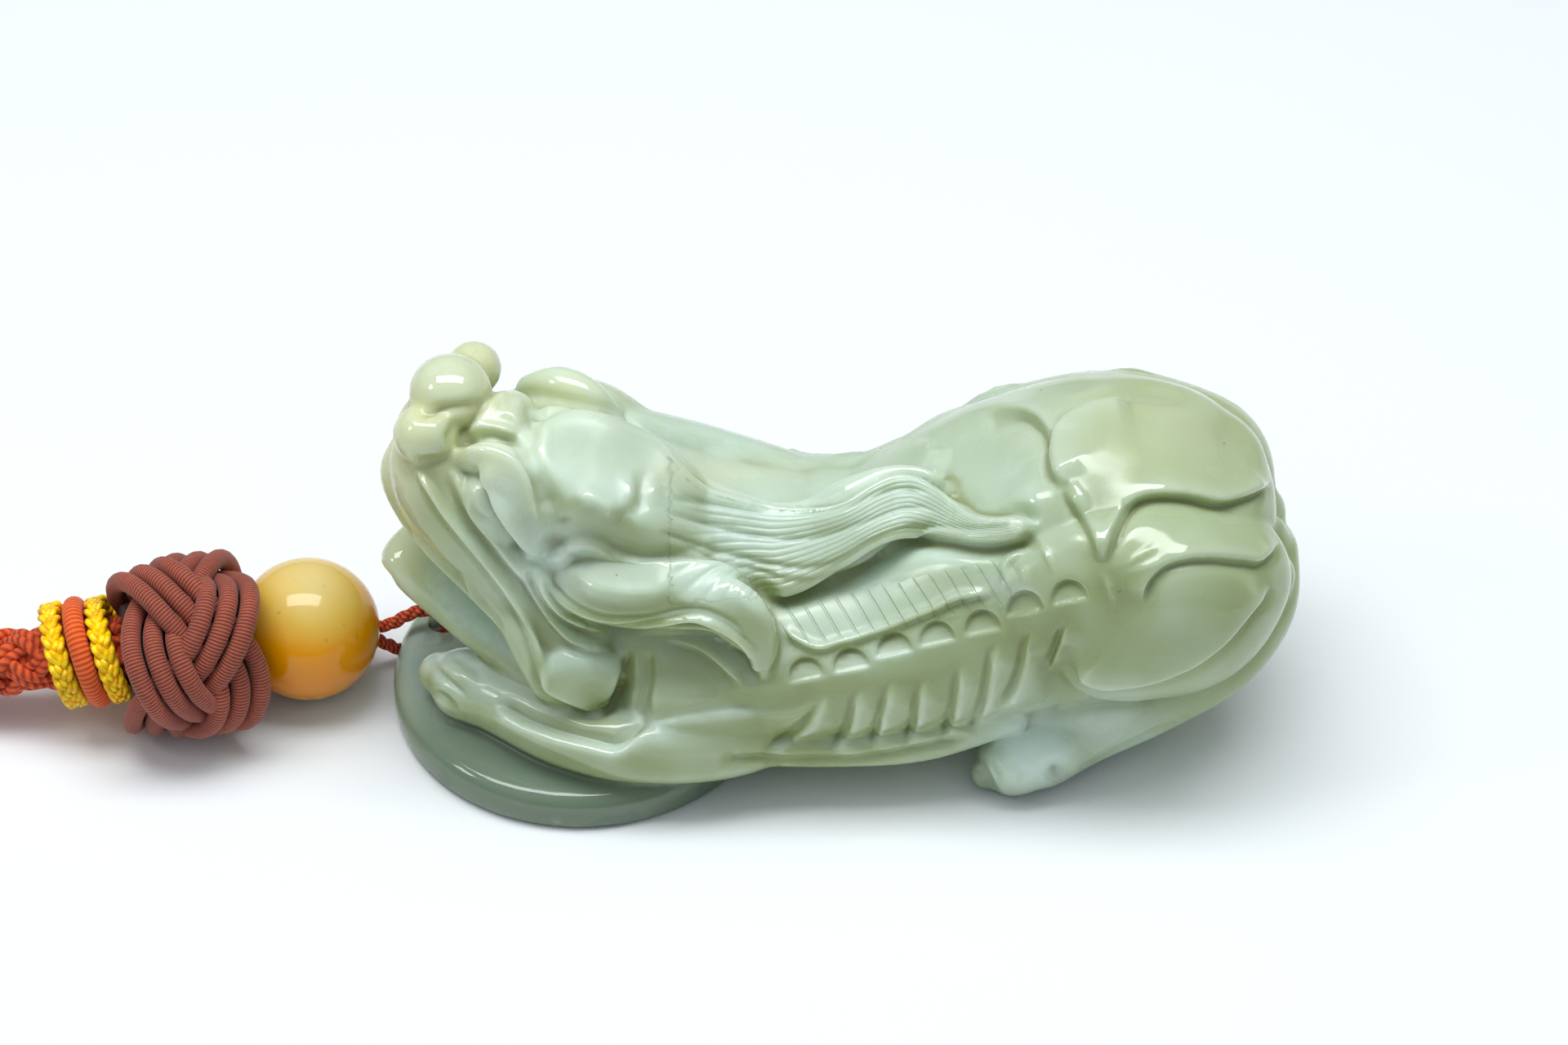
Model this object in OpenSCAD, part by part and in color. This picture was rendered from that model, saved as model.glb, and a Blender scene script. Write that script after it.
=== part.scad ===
// Carved jade beast pendant on a knotted hanging cord.
// Origin: middle of the stone's box, on the surface that it lies on. The snout points to -X, +Z is up.

/* [Stone] */
// Length of the stone, from the coin's front rim to the rump
stone_l = 66.4; // [54:0.2:84]
// Width of the stone across the forelegs and flanks
stone_w = 28.8; // [24:0.2:36]
// Height of the stone to the top of the nose
stone_h = 32.0; // [26:0.2:40]
// Sides of each carved form
form_sides = 12; // [10:2:18]

/* [Coin] */
// Diameter of the coin under the forepaws
coin_d = 28.6; // [25:0.2:33]
// Thickness of the coin
coin_t = 3.0; // [2.6:0.1:4]
// Width of the bevel round the coin's upper rim
coin_bevel = 1.0; // [0.4:0.1:1.6]

/* [Cord hole] */
// Diameter of the hole that the thin cord hangs the stone by
hole_d = 2.4; // [2:0.1:3]
// Width of the groove that leads the cord out under the coin
groove_w = 1.8; // [1.4:0.1:2.6]
// Height of that groove above the underside
groove_h = 1.8; // [1.6:0.1:2]

/* [Bead] */
// Diameter of the ball bead
bead_d = 10.6; // [9:0.1:11]
// Diameter of its bore, which takes the thin cord twice
bead_bore_d = 2.7; // [2.5:0.1:3.4]

/* [Knot] */
// Diameter of the button knot over its strands
knot_d = 14.2; // [13:0.1:14.4]
// Length of the knot along the cord
knot_l = 11.6; // [11:0.1:12.4]
// Thickness of one strand of the knot
strand_d = 1.6; // [1.4:0.05:1.7]
// Diameter of the way through the knot
knot_bore_d = 3.9; // [3.8:0.1:4.3]
// Clearance between the knot and the bead, the braid and the first ring in its ends
knot_clear = 0.3; // [0.2:0.05:0.5]

/* [Cords] */
// Diameter of the thin red cord
thin_d = 1.0; // [0.8:0.05:1.1]
// Diameter of the thick red braid
braid_d = 5.2; // [4.4:0.1:5.4]

/* [Wraps] */
// Thickness of a thread ring on the braid, outwards
wrap_t = 1.5; // [1.2:0.05:1.7]
// Width of a thread ring along the braid
wrap_w = 1.55; // [1.2:0.05:1.6]
// Clearance between the braid and what is wound round it
wrap_clear = 0.15; // [0.12:0.01:0.25]
// Wall of the binding that closes the hanging loop
binding_t = 0.7; // [0.5:0.05:0.8]
// Length of that binding
binding_l = 5.0; // [4:0.1:7]

/* [Hidden] */

jade = "#a9bfa2";
amber = "#d9a02c";
brown_red = "#8a4438";
brick_red = "#b24a30";
gold = "#e6b91e";

front_x = -stone_l / 2;
coin_x = front_x + coin_d / 2;
bead_x = front_x - 6.2;
bead_y = 1.15;
bead_z = bead_d / 2 + 0.05;
// The thin cord runs from the bead to the hole in one upright plane, turned by thin_yaw.
thin_yaw = 18;
bead_dip = 20.8;
turn_s = 8.41;
turn_r = 2.05;
turn_z = 2.6;
knot_x = bead_x - 8.5;
knot_y = -2.4;
knot_z = knot_d / 2;
knot_yaw = 16;
knot_dip = 5;

// Route of the thin cord: distance from the bead's centre along the plane, height.
// It leaves the knot, passes the bead, turns round through the hole in the coin and comes back.
THIN_OUT = [[-8, 7.5], [-6.5, 7.68], [-5, 7.6], [-3.5, 7.24], [0, 5.94], [3, 4.8], [4.8, 4.12],
            [5.6, 3.96], [6.4, 4.02], [7.4, 4.42]];
THIN_TURN = [90, 60, 30, 0, -30, -60, -90];
THIN_BACK = [[7.5, 0.7], [6.7, 1.2], [5.8, 2.0], [4.8, 2.9], [3, 3.64], [0, 4.76], [-3.5, 6.08],
             [-5, 6.52], [-6.5, 6.62], [-8, 6.4]];
// Route of the braid from the knot's far end, counted from the snout: x, y, z.
BRAID = [[-18.9, -2.3, 6.9], [-21, -2.2, 6.4], [-24, -2.1, 5.8], [-27, -2.1, 5.3], [-30, -2.1, 4.7],
         [-33, -2.1, 4.1], [-36, -2.2, 3.6], [-39, -2.2, 3.45], [-42, -2.3, 3.4], [-44.8, -3.2, 3.15],
         [-47.6, -5.1, 2.8], [-50.2, -7.6, 2.7], [-53.4, -10, 2.65], [-57.4, -11.3, 2.65],
         [-61.5, -11.1, 2.65], [-65.4, -9.3, 2.65], [-68.4, -6.1, 2.65], [-70, -2, 2.65], [-70.1, 2.2, 2.65],
         [-68.7, 6.2, 2.65], [-65.8, 9.8, 2.65], [-61.9, 12, 2.65], [-57.6, 12.5, 2.65], [-53.4, 11.2, 2.65],
         [-50.2, 8.8, 2.7], [-47.6, 6.3, 2.8], [-44.8, 4.4, 3.15], [-42, 3.5, 3.4], [-39, 3.4, 3.45],
         [-37, 3.4, 3.45]];
// Places along the braid of the two gold rings and the red one between them, counted from the snout
WRAP_AT = [[-20.4, -2.2, 6.55], [-22.1, -2.15, 6.2], [-23.85, -2.1, 5.85]];
wrap_dip = 11;
wrap_lean = 12;
binding_at = [-39.2, 0.6, braid_d / 2 + wrap_clear + binding_t];
leg_gap = braid_d + 0.4;
ring_d = braid_d + 2 * (wrap_clear + wrap_t);

// Each table of the stone holds one carved form, a row for each section along it:
// x share of length, y share of width, z share of height, half-breadth share of width,
// half-depth share of height. The near side is -Y, and mirrored() gives the far side.
TRUNK = [[-0.256, 0, 0.287, 0.278, 0.175], [-0.181, 0, 0.306, 0.368, 0.212], [-0.075, 0, 0.319, 0.424, 0.235],
         [0.03, 0, 0.334, 0.424, 0.238], [0.12, 0, 0.385, 0.41, 0.29], [0.21, 0, 0.452, 0.39, 0.34],
         [0.3, 0, 0.51, 0.36, 0.38], [0.38, 0, 0.505, 0.3, 0.366], [0.424, 0, 0.478, 0.222, 0.29],
         [0.453, 0, 0.446, 0.08, 0.13]];
BELLY = [[-0.18, -0.312, 0.15, 0.056, 0.037], [-0.105, -0.326, 0.163, 0.09, 0.059],
         [0, -0.333, 0.169, 0.097, 0.062], [0.09, -0.326, 0.18, 0.094, 0.062],
         [0.18, -0.306, 0.212, 0.062, 0.05]];
HAUNCH = [[0.173, -0.26, 0.416, 0.076, 0.116], [0.226, -0.253, 0.484, 0.167, 0.23],
          [0.3, -0.24, 0.528, 0.208, 0.276], [0.377, -0.212, 0.53, 0.205, 0.278],
          [0.43, -0.167, 0.504, 0.167, 0.226], [0.461, -0.125, 0.469, 0.069, 0.1]];
HAUNCH_FAR = [[0.098, 0.271, 0.469, 0.09, 0.169], [0.158, 0.271, 0.506, 0.16, 0.234],
              [0.226, 0.257, 0.525, 0.194, 0.253], [0.3, 0.24, 0.53, 0.208, 0.263],
              [0.377, 0.212, 0.525, 0.205, 0.263], [0.43, 0.167, 0.494, 0.167, 0.212],
              [0.461, 0.125, 0.469, 0.069, 0.094]];
SHIN = [[0.178, -0.334, 0.081, 0.056, 0.056], [0.208, -0.32, 0.1, 0.104, 0.091],
        [0.269, -0.267, 0.131, 0.09, 0.087], [0.341, -0.224, 0.188, 0.09, 0.087],
        [0.41, -0.16, 0.266, 0.097, 0.1], [0.45, -0.093, 0.375, 0.09, 0.1], [0.465, 0.004, 0.453, 0.056, 0.075]];
HIND_FOOT = [[0.242, -0.296, 0.112, 0.056, 0.05], [0.215, -0.309, 0.106, 0.097, 0.091],
             [0.189, -0.334, 0.081, 0.101, 0.081], [0.166, -0.344, 0.056, 0.076, 0.059],
             [0.157, -0.352, 0.05, 0.035, 0.037]];
FACE = [[-0.446, -0.007, 0.856, 0.083, 0.05], [-0.431, -0.014, 0.8, 0.167, 0.106],
        [-0.392, -0.031, 0.7, 0.222, 0.131], [-0.34, -0.042, 0.594, 0.257, 0.138],
        [-0.292, -0.035, 0.475, 0.285, 0.138], [-0.256, -0.021, 0.359, 0.292, 0.131],
        [-0.235, 0, 0.281, 0.243, 0.094]];
NECK = [[-0.384, 0.007, 0.769, 0.139, 0.062], [-0.331, 0.01, 0.7, 0.215, 0.119],
        [-0.241, 0, 0.575, 0.26, 0.156], [-0.136, 0, 0.47, 0.3, 0.15], [-0.03, 0, 0.41, 0.32, 0.155],
        [0.06, 0, 0.39, 0.29, 0.15]];
LIP = [[-0.467, 0.021, 0.748, 0.038, 0.041], [-0.475, -0.042, 0.721, 0.042, 0.044],
       [-0.455, -0.111, 0.66, 0.042, 0.044], [-0.427, -0.167, 0.611, 0.042, 0.044],
       [-0.384, -0.222, 0.536, 0.042, 0.044], [-0.351, -0.271, 0.477, 0.042, 0.044],
       [-0.332, -0.306, 0.396, 0.042, 0.044], [-0.319, -0.323, 0.321, 0.035, 0.037]];
LIP_FAR = [[-0.467, 0.021, 0.748, 0.038, 0.041], [-0.455, 0.09, 0.731, 0.042, 0.044],
           [-0.416, 0.16, 0.65, 0.042, 0.044], [-0.37, 0.222, 0.55, 0.042, 0.044],
           [-0.328, 0.271, 0.444, 0.042, 0.044], [-0.298, 0.299, 0.35, 0.035, 0.037]];
JAW = [[-0.485, 0.049, 0.405, 0.056, 0.025], [-0.473, 0.035, 0.425, 0.104, 0.047],
       [-0.428, 0.014, 0.356, 0.128, 0.056], [-0.369, -0.021, 0.294, 0.174, 0.062],
       [-0.301, -0.042, 0.256, 0.257, 0.087], [-0.248, -0.035, 0.256, 0.257, 0.094]];
BROW = [[-0.402, -0.136, 0.841, 0.024, 0.025], [-0.369, -0.17, 0.869, 0.045, 0.041],
        [-0.343, -0.198, 0.829, 0.056, 0.047], [-0.33, -0.219, 0.745, 0.052, 0.047],
        [-0.327, -0.24, 0.67, 0.031, 0.031]];
BROW_FAR = [[-0.328, 0.161, 0.873, 0.024, 0.025], [-0.296, 0.12, 0.901, 0.045, 0.041],
            [-0.272, 0.089, 0.861, 0.056, 0.047], [-0.257, 0.076, 0.777, 0.052, 0.047],
            [-0.247, 0.082, 0.702, 0.031, 0.031]];
FOREHEAD = [[-0.325, -0.083, 0.876, 0.056, 0.037], [-0.295, -0.118, 0.832, 0.104, 0.081],
            [-0.243, -0.146, 0.782, 0.118, 0.1], [-0.2, -0.174, 0.72, 0.09, 0.075],
            [-0.166, -0.188, 0.67, 0.042, 0.037]];
FOREHEAD_FAR = [[-0.345, 0.153, 0.808, 0.042, 0.031], [-0.309, 0.181, 0.786, 0.076, 0.056],
                [-0.266, 0.208, 0.75, 0.083, 0.069], [-0.214, 0.222, 0.65, 0.069, 0.056],
                [-0.161, 0.222, 0.605, 0.049, 0.044]];
MANE = [[-0.233, -0.07, 0.69, 0.09, 0.06], [-0.157, -0.118, 0.632, 0.118, 0.075],
        [-0.088, -0.139, 0.575, 0.122, 0.075], [-0.028, -0.139, 0.597, 0.108, 0.069],
        [0.024, -0.118, 0.66, 0.104, 0.066], [0.076, -0.104, 0.693, 0.086, 0.056],
        [0.137, -0.111, 0.65, 0.05, 0.045], [0.2, -0.118, 0.66, 0.02, 0.022]];
MANE_FAR = [[-0.231, 0.181, 0.7, 0.083, 0.056], [-0.16, 0.208, 0.616, 0.076, 0.059],
            [-0.089, 0.222, 0.535, 0.069, 0.056], [-0.026, 0.229, 0.499, 0.069, 0.056],
            [0.028, 0.229, 0.537, 0.059, 0.05], [0.081, 0.222, 0.605, 0.028, 0.025]];
LEAF = [[-0.317, -0.225, 0.58, 0.028, 0.019], [-0.281, -0.267, 0.586, 0.08, 0.041],
        [-0.233, -0.302, 0.587, 0.09, 0.047], [-0.182, -0.323, 0.595, 0.076, 0.047],
        [-0.13, -0.337, 0.592, 0.08, 0.047], [-0.096, -0.347, 0.517, 0.066, 0.041],
        [-0.081, -0.354, 0.388, 0.017, 0.019]];
LEAF_FAR = [[-0.309, 0.264, 0.562, 0.028, 0.019], [-0.271, 0.323, 0.519, 0.08, 0.041],
            [-0.218, 0.361, 0.469, 0.09, 0.047], [-0.166, 0.382, 0.438, 0.076, 0.047],
            [-0.12, 0.392, 0.419, 0.08, 0.047], [-0.09, 0.403, 0.356, 0.066, 0.041],
            [-0.078, 0.41, 0.269, 0.017, 0.019]];
FORELEG = [[-0.026, -0.305, 0.182, 0.035, 0.037], [-0.089, -0.349, 0.184, 0.09, 0.082],
           [-0.159, -0.381, 0.181, 0.097, 0.092], [-0.239, -0.385, 0.175, 0.083, 0.085],
           [-0.311, -0.327, 0.17, 0.076, 0.08], [-0.376, -0.214, 0.166, 0.08, 0.078],
           [-0.418, -0.145, 0.162, 0.094, 0.078], [-0.443, -0.109, 0.156, 0.056, 0.05]];
FORELEG_FAR = [[-0.026, 0.305, 0.182, 0.035, 0.037], [-0.089, 0.349, 0.184, 0.09, 0.082],
               [-0.159, 0.385, 0.181, 0.097, 0.092], [-0.232, 0.392, 0.175, 0.083, 0.085],
               [-0.296, 0.351, 0.17, 0.076, 0.08], [-0.348, 0.275, 0.166, 0.08, 0.078],
               [-0.378, 0.235, 0.162, 0.094, 0.078], [-0.395, 0.21, 0.156, 0.056, 0.05]];

// Rounded forms: centre in the shares of the tables above, half-sizes as shares of length,
// width and height, turn about Z
BULBS = [[[-0.415, 0.014, 0.92], [0.044, 0.101, 0.08], 0], [[-0.44, -0.09, 0.875], [0.035, 0.076, 0.069], 0],
         [[-0.393, 0.125, 0.9], [0.03, 0.069, 0.062], 0], [[-0.361, -0.021, 0.845], [0.036, 0.111, 0.069], -27],
         [[-0.379, -0.194, 0.784], [0.017, 0.038, 0.053], 0], [[-0.307, 0.131, 0.784], [0.017, 0.038, 0.053], 0],
         [[-0.289, -0.299, 0.325], [0.053, 0.069, 0.094], 0], [[-0.289, 0.299, 0.325], [0.053, 0.069, 0.094], 0],
         [[-0.133, -0.278, 0.241], [0.108, 0.16, 0.188], 0], [[-0.133, 0.278, 0.241], [0.108, 0.16, 0.188], 0],
         [[-0.339, -0.139, 0.75], [0.068, 0.139, 0.125], 0], [[-0.18, -0.174, 0.53], [0.11, 0.14, 0.13], 0],
         [[-0.3, -0.014, 0.735], [0.09, 0.215, 0.155], 0], [[-0.2, 0, 0.19], [0.176, 0.376, 0.16], 0],
         [[0.25, -0.21, 0.19], [0.12, 0.14, 0.12], 0], [[0.25, 0.21, 0.19], [0.12, 0.14, 0.12], 0],
         [[-0.2, 0.19, 0.5], [0.12, 0.15, 0.16], 0]];

// Ribs of the flank: upper and lower end of the first and the last, in the same shares
rib_count = 8;
RIB_FIRST = [[-0.03, -0.405, 0.41], [-0.075, -0.385, 0.23]];
RIB_LAST = [[0.215, -0.385, 0.5], [0.2, -0.37, 0.3]];
rib_r = 0.8;

function at(p) = [p[0] * stone_l, p[1] * stone_w, p[2] * stone_h];
function mirrored(rows) = [for (r = rows) [r[0], -r[1], r[2], r[3], r[4]]];
function unit(v) = v / norm(v);
function curve(a, b, c, d, t) =
    0.5 * (2 * b + (c - a) * t + (2 * a - 5 * b + 4 * c - d) * t * t + (3 * b - a - 3 * c + d) * t * t * t);
// A smooth run through the rows of a table, with as many steps between two rows
function smooth(rows, steps) = let (last = len(rows) - 1) [
    for (i = [0 : last - 1], j = [0 : steps - 1])
        curve(rows[max(i - 1, 0)], rows[i], rows[i + 1], rows[min(i + 2, last)], j / steps),
    rows[last]
];
// The corners of one section: a superellipse across the run
function section(p, along, side, a, b, sides, square) = let (
    s = unit(side - (along * side) * along),
    n = cross(along, s)
) [for (i = [0 : sides - 1]) let (c = cos(360 * i / sides), d = sin(360 * i / sides))
    p + s * a * sign(c) * pow(abs(c), 2 / square) + n * b * sign(d) * pow(abs(d), 2 / square)];
function tangent(pts, i) = unit(pts[min(i + 1, len(pts) - 1)] - pts[max(i - 1, 0)]);

// Closes a stack of rings, each with as many corners, into one solid
module skin(rings) {
    m = len(rings);
    n = len(rings[0]);
    pts = [for (r = rings, p = r) p];
    walls = [for (i = [0 : m - 2], j = [0 : n - 1]) let (k = (j + 1) % n)
        for (t = [[i * n + j, (i + 1) * n + k, i * n + k], [i * n + j, (i + 1) * n + j, (i + 1) * n + k]]) t];
    start = [for (j = [1 : n - 2]) [0, j, j + 1]];
    end = [for (j = [1 : n - 2]) [(m - 1) * n, (m - 1) * n + j + 1, (m - 1) * n + j]];
    polyhedron(points = pts, faces = concat(walls, start, end), convexity = 6);
}

// A carved form: the rows of its table, drawn out with rounded ends
module form(table, side = [0, 1, 0], square = 2.3, steps = 2, sides = form_sides) {
    rows = smooth(table, steps);
    last = len(rows) - 1;
    pts = [for (r = rows) at(r)];
    a = [for (r = rows) r[3] * stone_w];
    b = [for (r = rows) r[4] * stone_h];
    t0 = tangent(pts, 0);
    t1 = tangent(pts, last);
    cap0 = min(a[0], b[0]);
    cap1 = min(a[last], b[last]);
    skin(concat(
        [for (u = [80, 45]) section(pts[0] - t0 * cap0 * sin(u), t0, side, a[0] * cos(u), b[0] * cos(u),
            sides, square)],
        [for (i = [0 : last]) section(pts[i], tangent(pts, i), side, a[i], b[i], sides, square)],
        [for (u = [45, 80]) section(pts[last] + t1 * cap1 * sin(u), t1, side, a[last] * cos(u),
            b[last] * cos(u), sides, square)]
    ));
}

// A form and its twin on the far side
module pair(table, side = [0, 1, 0], square = 2.3, steps = 2, sides = form_sides) {
    form(table, side, square, steps, sides);
    form(mirrored(table), [side[0], -side[1], side[2]], square, steps, sides);
}

module bulb(b) {
    translate(at(b[0])) rotate(b[2]) scale([b[1][0] * stone_l, b[1][1] * stone_w, b[1][2] * stone_h])
        sphere(r = 1, $fn = form_sides);
}

// Raised ribs along the flank, one side = -1 near, 1 far
module ribs(flank) {
    for (i = [0 : rib_count - 1]) {
        f = i / (rib_count - 1);
        top = at(RIB_FIRST[0] * (1 - f) + RIB_LAST[0] * f);
        low = at(RIB_FIRST[1] * (1 - f) + RIB_LAST[1] * f);
        hull() {
            translate([top[0], -flank * top[1], top[2]]) sphere(r = rib_r * 0.7, $fn = 8);
            translate([low[0], -flank * low[1], low[2]]) sphere(r = rib_r, $fn = 8);
        }
    }
}

module head_forms() {
    form(FACE, [0.45, 0.89, 0], 2.6);
    form(NECK, [0, 1, 0], 2.4);
    form(LIP, [0.8, -0.6, 0], 2.2, 1, 8);
    form(LIP_FAR, [0.8, 0.6, 0], 2.2, 1, 8);
    form(JAW, [0.45, 0.89, 0], 2.4);
    form(BROW, [0.8, 0, 0.6], 2.2, 1, 8);
    form(BROW_FAR, [0.47, -0.65, 0.6], 2.2, 1, 8);
    form(FOREHEAD, [0, 0.8, 0.6], 2.2, 2, 10);
    form(FOREHEAD_FAR, [0, 0.8, -0.6], 2.2, 2, 10);
    form(MANE, [0, 0.8, 0.6], 2.2, 2, 10);
    form(MANE_FAR, [0, 0.8, -0.6], 2.2, 2, 10);
    form(LEAF, [0, 0.5, 0.87], 2.2, 2, 10);
    form(LEAF_FAR, [0, 0.5, -0.87], 2.2, 2, 10);
}

module body_forms() {
    form(TRUNK, [0, 1, 0], 2.3, 2, 18);
    form(HAUNCH, [0, 1, 0], 2.3, 2, 14);
    form(HAUNCH_FAR, [0, 1, 0], 2.3, 2, 14);
    pair(BELLY, sides = 10);
    pair(SHIN, [0.3, 1, 0], steps = 1);
    pair(HIND_FOOT, [0.5, 1, 0]);
    form(FORELEG, [0.4, 1, 0], 2.2, 1);
    form(FORELEG_FAR, [0.4, -1, 0], 2.2, 1);
    ribs(1);
    ribs(-1);
}

// The coin: flat underside, upright rim, bevelled upper edge
module coin() {
    translate([coin_x, 0, 0]) rotate_extrude($fn = 64)
        polygon([[0, 0], [coin_d / 2 - 0.3, 0], [coin_d / 2, 0.3], [coin_d / 2, coin_t - coin_bevel],
                 [coin_d / 2 - coin_bevel * 0.4, coin_t - coin_bevel * 0.3], [coin_d / 2 - coin_bevel, coin_t],
                 [0, coin_t]]);
}

// Places something in the thin cord's upright plane: s along it from the bead's centre
module in_thin_plane(s) {
    translate([bead_x, bead_y, 0]) rotate(thin_yaw) translate([s, 0, 0]) children();
}

module jade_figure() {
    color(jade) difference() {
        union() {
            head_forms();
            body_forms();
            for (b = BULBS) bulb(b);
            coin();
        }
        in_thin_plane(turn_s + turn_r) translate([-0.2, 0, -1]) cylinder(d = hole_d, h = coin_t + 2, $fn = 32);
        in_thin_plane(turn_s + turn_r) translate([-20, -groove_w / 2, -1])
            cube([20, groove_w, groove_h + 1]);
        translate([-stone_l, -stone_w, -10]) cube([2 * stone_l, 2 * stone_w, 10]);
    }
}

module bead() {
    color(amber) translate([bead_x, bead_y, bead_z]) rotate([0, 0, thin_yaw]) rotate([0, 90 + bead_dip, 0])
        difference() {
            sphere(d = bead_d, $fn = 96);
            cylinder(d = bead_bore_d, h = bead_d + 2, center = true, $fn = 48);
        }
}

// Radius of the knot's core at a height along its axis
function core_r(h) = (knot_d / 2 - 1.9 * strand_d) * sqrt(1 - pow(1.2 * h / knot_l, 2));
knot_turns = 3;
knot_bights = 4;
band_reach = knot_l / 2 - 1.75 * strand_d;
lift = 0.5 * strand_d;
// Middle of the woven band, t from 0 to 360: three turns about the axis with four bights at each end.
// The wave over and under its neighbours runs twice as fast as the bights.
function band_at(t) = let (
    h = band_reach * cos(knot_bights * t),
    r = core_r(h) + 0.35 * strand_d + lift * (1 + sin(2 * knot_bights * t)),
    w = knot_turns * t
) [r * cos(w), r * sin(w), h];
// Section of the band: three round strands side by side, as a closed run of corners
band_section = concat([[strand_d * 1.5, 0]], [for (lane = [1 : -1 : -1], a = [30, 90, 150])
    [lane * strand_d + strand_d / 2 * cos(a), strand_d / 2 * sin(a)]], [[-strand_d * 1.5, 0]],
    [[-strand_d, -strand_d / 2], [strand_d, -strand_d / 2]]);

// The woven band, a closed ring of sections: across it lie the three strands, outwards its thickness.
// It is built as twelve short lengths, each reaching one step into the next, because the whole band
// passes over itself.
module band(steps = 72, lengths = 12) {
    n = len(band_section);
    m = steps / lengths + 2;
    for (part = [0 : lengths - 1]) {
        pts = [for (i = [0 : m - 1]) let (
            t = 360 * ((part * steps / lengths + i) % steps) / steps,
            p = band_at(t),
            along = unit(band_at(t + 1) - band_at(t - 1)),
            out = let (o = unit([p[0], p[1], 0.35 * p[2]])) unit(o - (o * along) * along),
            across = cross(along, out)
        ) for (q = band_section) p + across * q[0] + out * q[1]];
        walls = [for (i = [0 : m - 2], j = [0 : n - 1]) let (k = (j + 1) % n, u = i + 1)
            for (t = [[i * n + j, i * n + k, u * n + k], [i * n + j, u * n + k, u * n + j]]) t];
        ends = [[for (j = [n - 1 : -1 : 0]) j], [for (j = [0 : n - 1]) (m - 1) * n + j]];
        polyhedron(points = pts, faces = concat(walls, ends), convexity = 6);
    }
}

// Places something along the knot's axis, which points to the bead
module along_knot() {
    translate([knot_x, knot_y, knot_z]) rotate([0, 0, knot_yaw]) rotate([0, 90 + knot_dip, 0]) children();
}

module knot() {
    slices = 8;
    color(brown_red) difference() {
        along_knot() {
            for (i = [0 : slices - 1]) {
                h0 = 0.72 * knot_l * (i / slices - 0.5);
                h1 = 0.72 * knot_l * ((i + 1) / slices - 0.5);
                hull() {
                    translate([0, 0, h0]) cylinder(r = core_r(h0), h = 0.01, $fn = 20);
                    translate([0, 0, h1]) cylinder(r = core_r(h1), h = 0.01, $fn = 20);
                }
            }
            band();
        }
        along_knot() cylinder(d = knot_bore_d, h = knot_l + 2, center = true, $fn = 20);
        // recesses for the braid's end and the first ring
        translate([front_x + 0.3, 0, 0] + BRAID[0]) rotate([0, -90 - wrap_dip, -2])
            cylinder(d = braid_d + 2 * knot_clear, h = 8, $fn = 24);
        translate([front_x, 0, 0] + WRAP_AT[0]) rotate([0, -90 - wrap_dip, wrap_lean])
            cylinder(d = ring_d + 2 * knot_clear, h = wrap_w + 2 * knot_clear, center = true, $fn = 32);
        // dent that the bead's end sits in
        translate([bead_x, bead_y, bead_z]) sphere(d = bead_d + 2 * knot_clear, $fn = 40);
    }
}

// A thread ring round the braid
module thread_ring(i) {
    bore_r = braid_d / 2 + wrap_clear;
    translate([front_x, 0, 0] + WRAP_AT[i]) rotate([0, -90 - wrap_dip, wrap_lean])
        rotate_extrude($fn = 64) polygon([for (a = [0 : 20 : 340])
            [bore_r + wrap_t / 2 * (1 + cos(a)), wrap_w / 2 * sin(a)]]);
}

module gold_wrap_1() {
    color(gold) thread_ring(0);
}

module red_wrap() {
    color(brick_red) thread_ring(1);
}

module gold_wrap_2() {
    color(gold) thread_ring(2);
}

// A round cord with eight sides along a route
module tube(route, d, steps = 1) {
    pts = smooth(route, steps);
    last = len(pts) - 1;
    skin([for (i = [0 : last]) section(pts[i], tangent(pts, i), [0.05, 0.1, 1], d / 2, d / 2, 8, 2)]);
}

module suspension_cord() {
    turn = [for (a = THIN_TURN) [turn_s + turn_r * cos(a), turn_z + turn_r * sin(a)]];
    color(brick_red) translate([bead_x, bead_y, 0]) rotate(thin_yaw)
        tube([for (p = concat(THIN_OUT, turn, THIN_BACK)) [p[0], 0, p[1]]], thin_d);
}

module braided_cord() {
    color(brick_red) translate([front_x, 0, 0]) tube(BRAID, braid_d);
}

// The binding that holds the loop's two legs side by side
module loop_wrap() {
    in_r = braid_d / 2 + wrap_clear;
    out_r = in_r + binding_t;
    color(brick_red) translate([front_x, 0, 0] + binding_at) rotate([90, 0, 90])
        linear_extrude(binding_l, center = true) difference() {
            legs_outline(out_r);
            legs_outline(in_r);
        }
}

module legs_outline(r) {
    translate([-leg_gap / 2, 0]) circle(r = r, $fn = 48);
    translate([leg_gap / 2, 0]) circle(r = r, $fn = 48);
    square([leg_gap, 2 * r], center = true);
}

jade_figure();
bead();
knot();
gold_wrap_1();
red_wrap();
gold_wrap_2();
suspension_cord();
braided_cord();
loop_wrap();
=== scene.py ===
import math

import bpy
import numpy as np
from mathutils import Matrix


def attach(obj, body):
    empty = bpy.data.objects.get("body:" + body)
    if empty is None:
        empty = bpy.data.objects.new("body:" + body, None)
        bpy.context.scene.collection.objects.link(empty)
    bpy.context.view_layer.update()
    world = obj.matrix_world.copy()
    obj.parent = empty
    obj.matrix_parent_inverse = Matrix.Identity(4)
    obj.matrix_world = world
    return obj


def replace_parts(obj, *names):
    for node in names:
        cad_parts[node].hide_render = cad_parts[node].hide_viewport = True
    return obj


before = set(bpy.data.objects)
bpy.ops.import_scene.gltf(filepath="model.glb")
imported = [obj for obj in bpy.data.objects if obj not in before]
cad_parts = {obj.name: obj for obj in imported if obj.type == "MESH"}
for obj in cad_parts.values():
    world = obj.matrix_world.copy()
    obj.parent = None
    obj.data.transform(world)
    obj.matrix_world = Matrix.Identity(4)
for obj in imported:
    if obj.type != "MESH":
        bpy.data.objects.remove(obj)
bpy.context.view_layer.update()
mm = 0.001

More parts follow.
